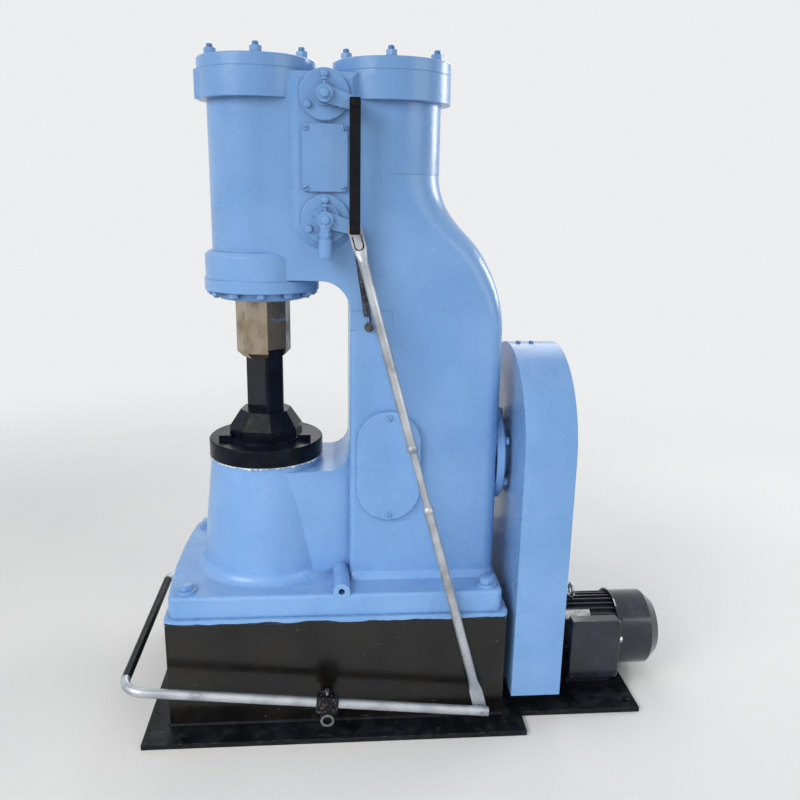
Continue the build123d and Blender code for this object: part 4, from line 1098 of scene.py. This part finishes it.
def seen_directly(nodes, links):
    """One for rays that reach a surface from the camera or off a glossy surface, else zero."""
    rays = nodes.new("ShaderNodeLightPath")
    seen = nodes.new("ShaderNodeMath")
    seen.operation = "MAXIMUM"
    links.new(rays.outputs["Is Camera Ray"], seen.inputs[0])
    links.new(rays.outputs["Is Glossy Ray"], seen.inputs[1])
    return seen.outputs[0]


def make_floor():
    """A pale floor that keeps the object's shadow and fades into the backdrop further out."""
    f = Finish("pale_floor")
    colour = f.mix(f.band(f.noise(FLOOR_BLOTCH, 3), 0.3, 0.7), *FLOOR_TONES)
    f.set(base_color=colour, roughness=FLOOR_ROUGHNESS)
    nodes, links = f.tree.nodes, f.tree.links
    reach = f.node("ShaderNodeVectorMath", {0: f.place}, operation="LENGTH").outputs["Value"]
    fade = f.both(f.band(reach, FADE_START * MM, FADE_END * MM), seen_directly(nodes, links))
    glow = f.node("ShaderNodeEmission", {"Color": BACKDROP, "Strength": 1.0})
    choice = f.node("ShaderNodeMixShader", {0: fade, 1: f.shader.outputs[0], 2: glow.outputs[0]})
    links.new(choice.outputs[0], nodes["Material Output"].inputs["Surface"])
    mesh = bmesh.new()
    bmesh.ops.create_grid(mesh, x_segments=2, y_segments=2, size=FLOOR_SIZE / 2 * MM)
    data = bpy.data.meshes.new("floor")
    mesh.to_mesh(data)
    mesh.free()
    data.materials.append(f.material)
    floor = bpy.data.objects.new("floor", data)
    bpy.context.scene.collection.objects.link(floor)


def make_light():
    """Large soft lamps and an even surrounding light, with a pale backdrop behind the object."""
    for name, place, target, size, power, spread, colour in LAMPS:
        lamp = bpy.data.lights.new(name, "AREA")
        lamp.size = size * MM
        lamp.energy = power
        lamp.spread = radians(spread)
        lamp.color = colour
        holder = bpy.data.objects.new(name, lamp)
        holder.matrix_world = stand(Vector(place) * MM, Vector(place) - Vector(target))
        holder.visible_camera = False
        # The low lamp at the foot would show as a patch on the glossy cylinder
        holder.visible_glossy = name != "foot"
        bpy.context.scene.collection.objects.link(holder)
    world = bpy.data.worlds.new("studio")
    world.use_nodes = True
    bpy.context.scene.world = world
    nodes, links = world.node_tree.nodes, world.node_tree.links
    soft = nodes["Background"]
    soft.inputs["Color"].default_value = WORLD_TINT
    soft.inputs["Strength"].default_value = WORLD_LIGHT
    shown = nodes.new("ShaderNodeBackground")
    shown.inputs["Color"].default_value = BACKDROP
    choice = nodes.new("ShaderNodeMixShader")
    links.new(seen_directly(nodes, links), choice.inputs[0])
    links.new(soft.outputs[0], choice.inputs[1])
    links.new(shown.outputs[0], choice.inputs[2])
    links.new(choice.outputs[0], nodes["World Output"].inputs["Surface"])


def make_camera():
    """The photograph's camera: yaw about Z, then pitch down, then roll about the line of sight."""
    yaw, pitch, roll = radians(CAMERA_YAW), radians(CAMERA_PITCH), radians(CAMERA_ROLL)
    level = Vector((-sin(yaw), cos(yaw), 0))
    right = Vector((cos(yaw), sin(yaw), 0))
    ahead = level * cos(pitch) - UP * sin(pitch)
    head = level * sin(pitch) + UP * cos(pitch)
    tilted_right = right * cos(roll) + head * sin(roll)
    tilted_up = head * cos(roll) - right * sin(roll)
    lens = bpy.data.cameras.new("camera")
    lens.lens = CAMERA_LENS
    lens.sensor_width = SENSOR_WIDTH
    camera = bpy.data.objects.new("camera", lens)
    turned = Matrix((tilted_right, tilted_up, -ahead)).transposed().to_4x4()
    camera.matrix_world = Matrix.Translation(CAMERA_PLACE * MM) @ turned
    bpy.context.scene.collection.objects.link(camera)
    bpy.context.scene.camera = camera
    bpy.context.scene.view_settings.view_transform = "Standard"


dress_cad_nodes()
make_cylinder_fasteners()
make_chest_fasteners()
make_linkage_fasteners()
make_treadle_fasteners()
make_frame_fasteners()
make_motor_fittings()
make_base_weld()
make_sealant()
make_rod_weld()
make_spring()
make_floor()
make_light()
make_camera()
